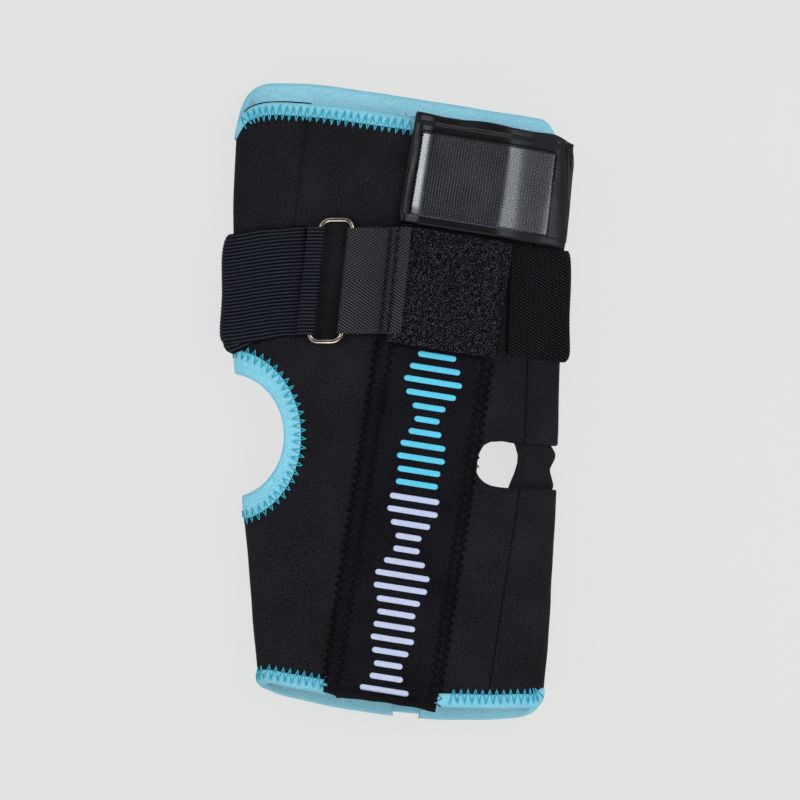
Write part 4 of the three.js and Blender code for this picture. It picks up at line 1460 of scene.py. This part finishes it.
def strap_strip(name, first, last, material, rib, rib_size, slot, shift=0.0, drop=0.0):
    """A strap between two section angles; shift sinks it, drop slides it down towards the left fold."""
    half = STRAP_HALF
    start, end = float(arc_of(first, 70.0)), float(arc_of(last, 70.0))
    run = np.linspace(start, end, max(8, int(abs(end - start) / 1.6)))
    angle, side = np.meshgrid(angle_of(run, 70.0), np.linspace(-half, half, int(2 * half / 0.5) + 1))
    run = np.broadcast_to(run, angle.shape)
    edge = 0.5 * ripple(run, 0 * side, 26, 101) * np.sign(side) * smooth(np.abs(side), half - 8, half)
    y = strap_middle(angle) + side + edge - drop * smooth(angle, 138, 172)
    ends = np.where(side > 0, 0.8 * np.abs(side / half) ** 5, 0.75 * np.abs(side / half) ** 14)
    bulge = strap_bulge(angle) * (1 - ends) * (1 + 0.5 * smooth(-side, 0, half))
    depth = STRAP_OUT + bulge - shift + 0.25 * ripple(run, side, 40, 102)
    rounding = 0.9 * (np.abs(side) / half) ** 24
    outer = at_angle(angle, y, depth + ribbed(side, rib, rib_size) - rounding)
    inner = at_angle(angle, y, np.minimum(depth - 1.6, STRAP_IN + bulge - shift))
    return filed(thick_grid(name, outer, inner, material, None, np.stack([run, side], -1)))


RING_X, RING_Y, RING_Z, RING_WIDE, RING_LONG, WIRE = -46.9, 79.7, 48.7, 25.0, 85.0, 1.7
RING_LEAN, RING_TILT = math.radians(5.9), math.radians(5)
BAR = RING_WIDE / 2 - WIRE


def on_ring(points):
    """From the metal loop's own directions to the frame."""
    tilt = Matrix.Rotation(-RING_TILT, 3, "Y")
    turn = np.array(Matrix.Rotation(-RING_LEAN, 3, "Z") @ tilt)
    turn[:, 0] = np.array(tilt)[:, 0]
    turned = np.asarray(points, float) @ turn.T
    return turned + np.array([RING_X + CENTRING[0], RING_Y + CENTRING[1], RING_Z])


def straps():
    ring_start = float(angle_at(RING_X - RING_WIDE / 2 - 4.5, RING_Y))
    elastic = (RIBBED, RIB_PITCH, 0.6, "ribbed_elastic")
    front = strap_strip("strap_left_front", ring_start, 181, *elastic)
    left_bar = on_ring([(-RING_WIDE / 2 + WIRE, 0, 0)])[0] * MM
    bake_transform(front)
    under = strap_strip("strap_left_under", 134, 205, RIBBED, RIB_PITCH, 0.5, "ribbed_elastic", 1.9, 5.0)
    back = strap_strip("strap_left_back", 180.5, 268, *elastic)
    for piece in (front, under, back):
        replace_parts(piece, "strap_left")

    tab_x, _ = from_pocket(47.4, 33.5)
    tab_start = float(angle_at(tab_x + 2, 70.0))
    right = strap_strip("strap_right", -88, tab_start, WOVEN, 2.3, 0.35, "woven_elastic")
    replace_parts(right, "strap_right")
    for piece in (under, back, right):
        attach(piece, "sleeve")


def metal_ring():
    wide, tall = RING_WIDE / 2 - WIRE, RING_LONG / 2 - WIRE
    loop = box_loop(-wide, wide, -tall, tall, 0.9, corner=6.5)
    path = on_ring(np.concatenate([loop, np.zeros((len(loop), 1))], 1))
    piece = tube("strap_ring", path, WIRE, NICKEL, "strap_ring", sides=20, closed=True)
    filed(piece, "strap_ring")


def bar_fold(name, away, tail, half, body, material, rib, rib_size, tail_height):
    """Elastic or webbing folded round one bar; away is the side its tail goes to."""
    eye = WIRE + 1.4
    turn = np.linspace(math.pi / 2, -math.pi / 2, 19)
    reach = np.linspace(tail, 1.5, max(6, int(tail / 1.4)))
    settle = smooth(reach, 2, 12)
    gap = eye * (1 - settle) + settle * 0.9
    top = np.stack([away * reach, tail_height(reach) + gap], -1)
    bottom = np.stack([away * reach, tail_height(reach) - gap], -1)
    nose = np.stack([-away * eye * np.cos(turn), eye * np.sin(turn)], -1)
    line = np.concatenate([top, nose, bottom[::-1]])
    ahead = unit(np.gradient(line, axis=0))
    out = np.stack([ahead[:, 1], -ahead[:, 0]], -1) * away * -1
    side = np.linspace(-half, half, int(2 * half / 0.5) + 1)
    thin = np.concatenate([1.1 * smooth(reach, tail - 5, tail), np.zeros(len(line) - len(reach))])
    ribs = ribbed(side, rib, rib_size) - 0.5 * (np.abs(side) / half) ** 24

    def face(lift):
        px = line[None, :, 0] + out[None, :, 0] * lift
        pz = line[None, :, 1] + out[None, :, 1] * lift
        local = np.stack(np.broadcast_arrays(px + away * BAR, side[:, None], pz), -1)
        return on_ring(local.reshape(-1, 3)).reshape(local.shape)

    outer = face(0.9 + ribs[:, None] - thin[None, :])
    inner = face(np.full((len(side), len(line)), -0.4))
    uv = beside(running(line)[None, :], side[:, None])
    filed(thick_grid(name, outer, inner, material, body, uv), name)


def bar_folds():
    bar_fold(
        "ring_loop", -1, 8.5, 36.2, "strap_ring", RIBBED, RIB_PITCH, 0.6,
        lambda reach: 0.07 * reach)

    def rise(reach):
        return -1.3 * smooth(reach, 4, 16) + 8.2 * smooth(reach, 17, 34)

    bar_fold("webbing_tab", 1, 40.0, 35.5, "sleeve", TWILL, 4.4, 0.35, rise)
    for row, reach in enumerate((26.0, 31.5)):
        dice = np.random.default_rng(151 + row)
        y = np.arange(-34.5, 34.5, 1.4)
        odd = np.arange(len(y)) % 2
        sway = np.where(odd, 1.3, -1.3) + dice.uniform(-0.2, 0.2, len(y))
        height = rise(reach + sway) + 2.1 + 0.25 * odd
        path = on_ring(np.stack([BAR + reach + sway, y, height], -1))
        filed(tube(f"webbing_stitches_{row}", path, 0.5, BLACK, "sleeve"))


straps()
metal_ring()
bar_folds()


# ---- Closing tab ----
TAB_LEFT, TAB_RIGHT, TAB_BOTTOM, TAB_UP, TAB_THICK = -34.0, 41.4, 33.5, 113.0, 2.2


def tab_low(x, y):
    """The closing tab's lower face, sewn down at its right end."""
    flat = POCKET_ROOM + POCKET_CLOTH + 3.7
    foot = crown_in_pocket(x, y) + 4.5
    share = smooth(x, 28, TAB_RIGHT)
    return flat * (1 - share) + foot * share


def tab_high(x, y):
    wave = 0.35 * ripple(x, y, 45, 111)
    lifted = 0.8 * smooth(x, -22, TAB_LEFT) * smooth(y, 70, TAB_BOTTOM)
    return tab_low(x, y) + TAB_THICK + wave + lifted


def closing_tab():
    loop = box_loop(TAB_LEFT, TAB_RIGHT, TAB_BOTTOM, TAB_UP, 1.4, corner=5.0, wobble=0.25)
    piece = cut_cloth(
        "closing_tab", [loop], 1.8, over_pocket, tab_high, tab_low, [PILE], "closing_tab", round_edge=1.0)
    filed(piece, "closing_tab")
    fibres("tab_fibres", 7500)

    base = POCKET_ROOM + POCKET_CLOTH
    loop = box_loop(-30, 30, TAB_BOTTOM + 3, TAB_UP - 3, 2.0, corner=3)
    block(
        "hook_pad", [loop], lambda x, y: base + 2.1 + 0.1 * ripple(x, y, 5, 113), base + 3.4, HOOKS,
        "closing_tab", 0.5, 2.4, "hook_pad")
    loop = box_loop(-31, 31, TAB_BOTTOM, TAB_UP, 2.0, corner=3)
    block(
        "loop_base", [loop], base - 0.3, lambda x, y: base + 1.7 + 0.12 * ripple(x, y, 5, 114), PILE,
        "sleeve", 0.6, 2.2, "loop_base")


def fibres(name, count):
    """Short loops of fibre standing on the closing tab."""
    dice = np.random.default_rng(121)
    x = dice.uniform(TAB_LEFT + 1.0, TAB_RIGHT - 1.0, count)
    y = dice.uniform(TAB_BOTTOM + 1.0, TAB_UP - 1.0, count)
    turn = dice.uniform(0, 2 * math.pi, count)
    span = dice.uniform(0.4, 0.9, count)
    rise = dice.uniform(0.25, 0.75, count)
    steps = np.linspace(-1, 1, 5)
    px = x[:, None] + np.cos(turn)[:, None] * steps * span[:, None] / 2
    py = y[:, None] + np.sin(turn)[:, None] * steps * span[:, None] / 2
    path = over_pocket(px, py, tab_high(px, py) + rise[:, None] * (1 - steps ** 2) - 0.1)
    wide = 0.1
    side = np.stack([-np.sin(turn), np.cos(turn), 0 * turn], -1)[:, None, :] * wide
    ring = np.stack([path + side, path - side, path + [0, 0, wide * 1.5]], 2)
    start = np.arange(count)[:, None] * 15 + np.arange(4)[None, :] * 3
    faces = []
    for a, b in ((0, 1), (1, 2), (2, 0)):
        faces.append(np.stack([start + a, start + b, start + 3 + b, start + 3 + a], -1).reshape(-1, 4))
    faces = np.concatenate(faces).tolist()
    filed(new_piece(name, ring.reshape(-1, 3), faces, [FIBRE], "closing_tab"))


closing_tab()


# ---- Cold packs and their linings ----
PACK_HALF, PACK_BOTTOM, PACK_UP, PACK_THICK = 40.0, -150.0, 165.0, 8.2
CELL = 26.6


def placed(x, y, z):
    return np.stack([x + CENTRING[0], y + CENTRING[1], z], -1)


def quilt(x, y):
    """How full a gel cell is, from 0 at its welds to 1 in its middle."""
    across = np.abs(np.cos(x * math.pi / CELL))
    along = np.abs(np.sin((y - PACK_BOTTOM - 6) * math.pi / 50.5))
    rim = 1.0
    for inset in (PACK_HALF - np.abs(x), y - PACK_BOTTOM, PACK_UP - y):
        rim = rim * smooth(inset, 1.5, 8)
    return np.minimum(across ** 0.4, along ** 0.25) * rim


def cold_pack(name, bottom):
    loop = box_loop(-PACK_HALF, PACK_HALF, PACK_BOTTOM, PACK_UP, 2.5, corner=9)
    middle = bottom + PACK_THICK / 2
    piece = block(
        name, [loop], lambda x, y: middle - 0.5 - 3.4 * quilt(x, y),
        lambda x, y: middle + 0.5 + 3.4 * quilt(x, y) + 0.15 * ripple(x, y, 14, 131), GEL, name,
        0.4, 2.4, name, placed)


def lining(name, bottom, seed):
    def low(x, y):
        return bottom + 0.25 * ripple(x, y, 40, seed)

    loop = box_loop(-46, 46, -166, 170, 3.0, corner=11, wobble=0.3)
    piece = block(
        name, [loop], low, lambda x, y: low(x, y) + 1.0, LINING, "sleeve", 0.4, 4.0, name, placed)


# ---- Vibration unit ----
PAD_HALF, PAD_BOTTOM, PAD_UP, PAD_LOW, PAD_TOP = 28.0, -185.0, 112.0, 0.8, 4.4
MOTOR_PLACES, MOTOR_RADIUS, MOTOR_LOW, MOTOR_TOP = (-150.0, -80.0, -10.0, 60.0), 10.0, 1.7, 4.3
CASE_HALF, CASE_BOTTOM, CASE_UP, CASE_LOW, CASE_SPLIT, CASE_TOP = 26.0, 124.0, 182.0, 0.8, 6.4, 8.8
BUTTON_Y, LIGHT_Y = 159.0, 139.0


def disc_loop(y, radius, count=48):
    turn = np.linspace(0, 2 * math.pi, count, endpoint=False)
    return np.stack([radius * np.cos(turn), y + radius * np.sin(turn)], -1)


def vibration_pad():
    def top(x, y):
        height = np.full(x.shape, PAD_TOP)
        for place in MOTOR_PLACES:
            height = height - 0.5 * np.exp(-((np.hypot(x, y - place) - 15.5) / 1.2) ** 2)
        return height - 0.45 * (np.cos(y * math.pi / 4.4) > 0.75) * (np.abs(np.abs(x) - 21.5) < 3.2)

    unit_body = "vibration_unit"
    loop = box_loop(-PAD_HALF, PAD_HALF, PAD_BOTTOM, PAD_UP, 2.5, corner=12)
    seats = [disc_loop(place, MOTOR_RADIUS + 0.5) for place in MOTOR_PLACES]
    upper = block("pad_upper", [loop] + seats, 1.2, top, PAD, unit_body, 0.9, 1.5)
    lower = block("pad_lower", [loop], PAD_LOW, 1.4, PAD, unit_body, 0.3, 5.0)
    pad = join("vibration_pad", [upper, lower])
    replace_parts(pad, "vibration_pad")
    for index, place in enumerate(MOTOR_PLACES):
        def can_top(x, y, place=place):
            gap = np.hypot(x, y - place)
            return MOTOR_TOP - 0.35 * np.exp(-((gap - 7.2) / 0.6) ** 2) - 0.5 * (gap < 1.6)

        name = f"vibration_motor_{index + 1}"
        can = [disc_loop(place, MOTOR_RADIUS)]
        block(name, can, MOTOR_LOW, can_top, STEEL, unit_body, 0.5, 0.9, name)

    strands = []
    for strand in range(4):
        y = np.arange(MOTOR_PLACES[0] - 7 + strand, CASE_BOTTOM + 0.5, 2.0)
        x = -2.1 + 1.4 * strand + 0.25 * np.sin(y / 17.0 + strand)
        path = over_pocket(x, y, PAD_TOP + 0.45 + 0.1 * np.sin(y / 9.0 + strand))
        material = WIRE_LIGHT if strand % 2 else WIRE_DARK
        strands.append(tube(f"strand_{strand}", path, 0.55, material, unit_body, sides=8))
    filed(join("motor_cable", strands), "motor_cable")


def controller():
    unit_body = "vibration_unit"
    outline = box_loop(-CASE_HALF, CASE_HALF, CASE_BOTTOM, CASE_UP, 1.5, corner=8)
    wall = 1.4
    inner = box_loop(
        -CASE_HALF + wall, CASE_HALF - wall, CASE_BOTTOM + wall, CASE_UP - wall, 1.5, corner=8 - wall)
    side = block(
        "base_wall", [outline, inner], CASE_LOW + 0.6, CASE_SPLIT, CASE, unit_body, 0.3)
    floor = block("base_floor", [outline], CASE_LOW, CASE_LOW + 1.4, CASE, unit_body, 0.65)
    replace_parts(join("controller_base", [floor, side]), "controller_base")

    def top(x, y):
        grip = 0.3 * (np.sin((y - 170) * math.pi / 1.3) > 0) * (y > 168) * (y < 178) * (np.abs(x) < 14)
        dish = 0.35 * np.exp(-((np.hypot(x, y - BUTTON_Y) - 8.6) / 1.2) ** 2)
        return CASE_TOP - grip - dish

    def key_top(x, y):
        """The button's top, with a sunken power sign."""
        gap = np.hypot(x, y - BUTTON_Y)
        arc = 0.25 * (np.abs(gap - 2.8) < 0.35) * (np.abs(x) > 0.9)
        stroke = 0.25 * (np.abs(x) < 0.35) * (gap < 3.6) * (y > BUTTON_Y)
        return CASE_TOP + 0.3 - 0.25 * smooth(gap, 5, 0) - (arc + stroke)

    def lens(x, y):
        return CASE_TOP + 0.2 - 0.14 * np.hypot(x, y - LIGHT_Y) ** 2

    cover = [outline, disc_loop(BUTTON_Y, 6.8), disc_loop(LIGHT_Y, 1.9, 24)]
    block(
        "controller_cover", cover, CASE_SPLIT + 0.25, top, CASE, unit_body, 1.1, 0.8,
        "controller_cover")
    block(
        "power_button", [disc_loop(BUTTON_Y, 6.3)], CASE_TOP - 1.9, key_top, KEY, "power_button",
        0.6, 0.35, "power_button")
    block(
        "status_light", [disc_loop(LIGHT_Y, 1.5, 28)], CASE_TOP - 2.4, lens, LENS, unit_body,
        0.2, 0.4, "status_light")
    for node, material in (("battery", FOIL), ("circuit_board", BOARD)):
        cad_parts[node].material_slots[0].material = material


cold_pack("cold_pack_back", 8.6)
lining("inner_pocket_back", 17.4, 141)
lining("inner_pocket_front", 28.4, 142)
cold_pack("cold_pack_front", 30.2)
vibration_pad()
controller()
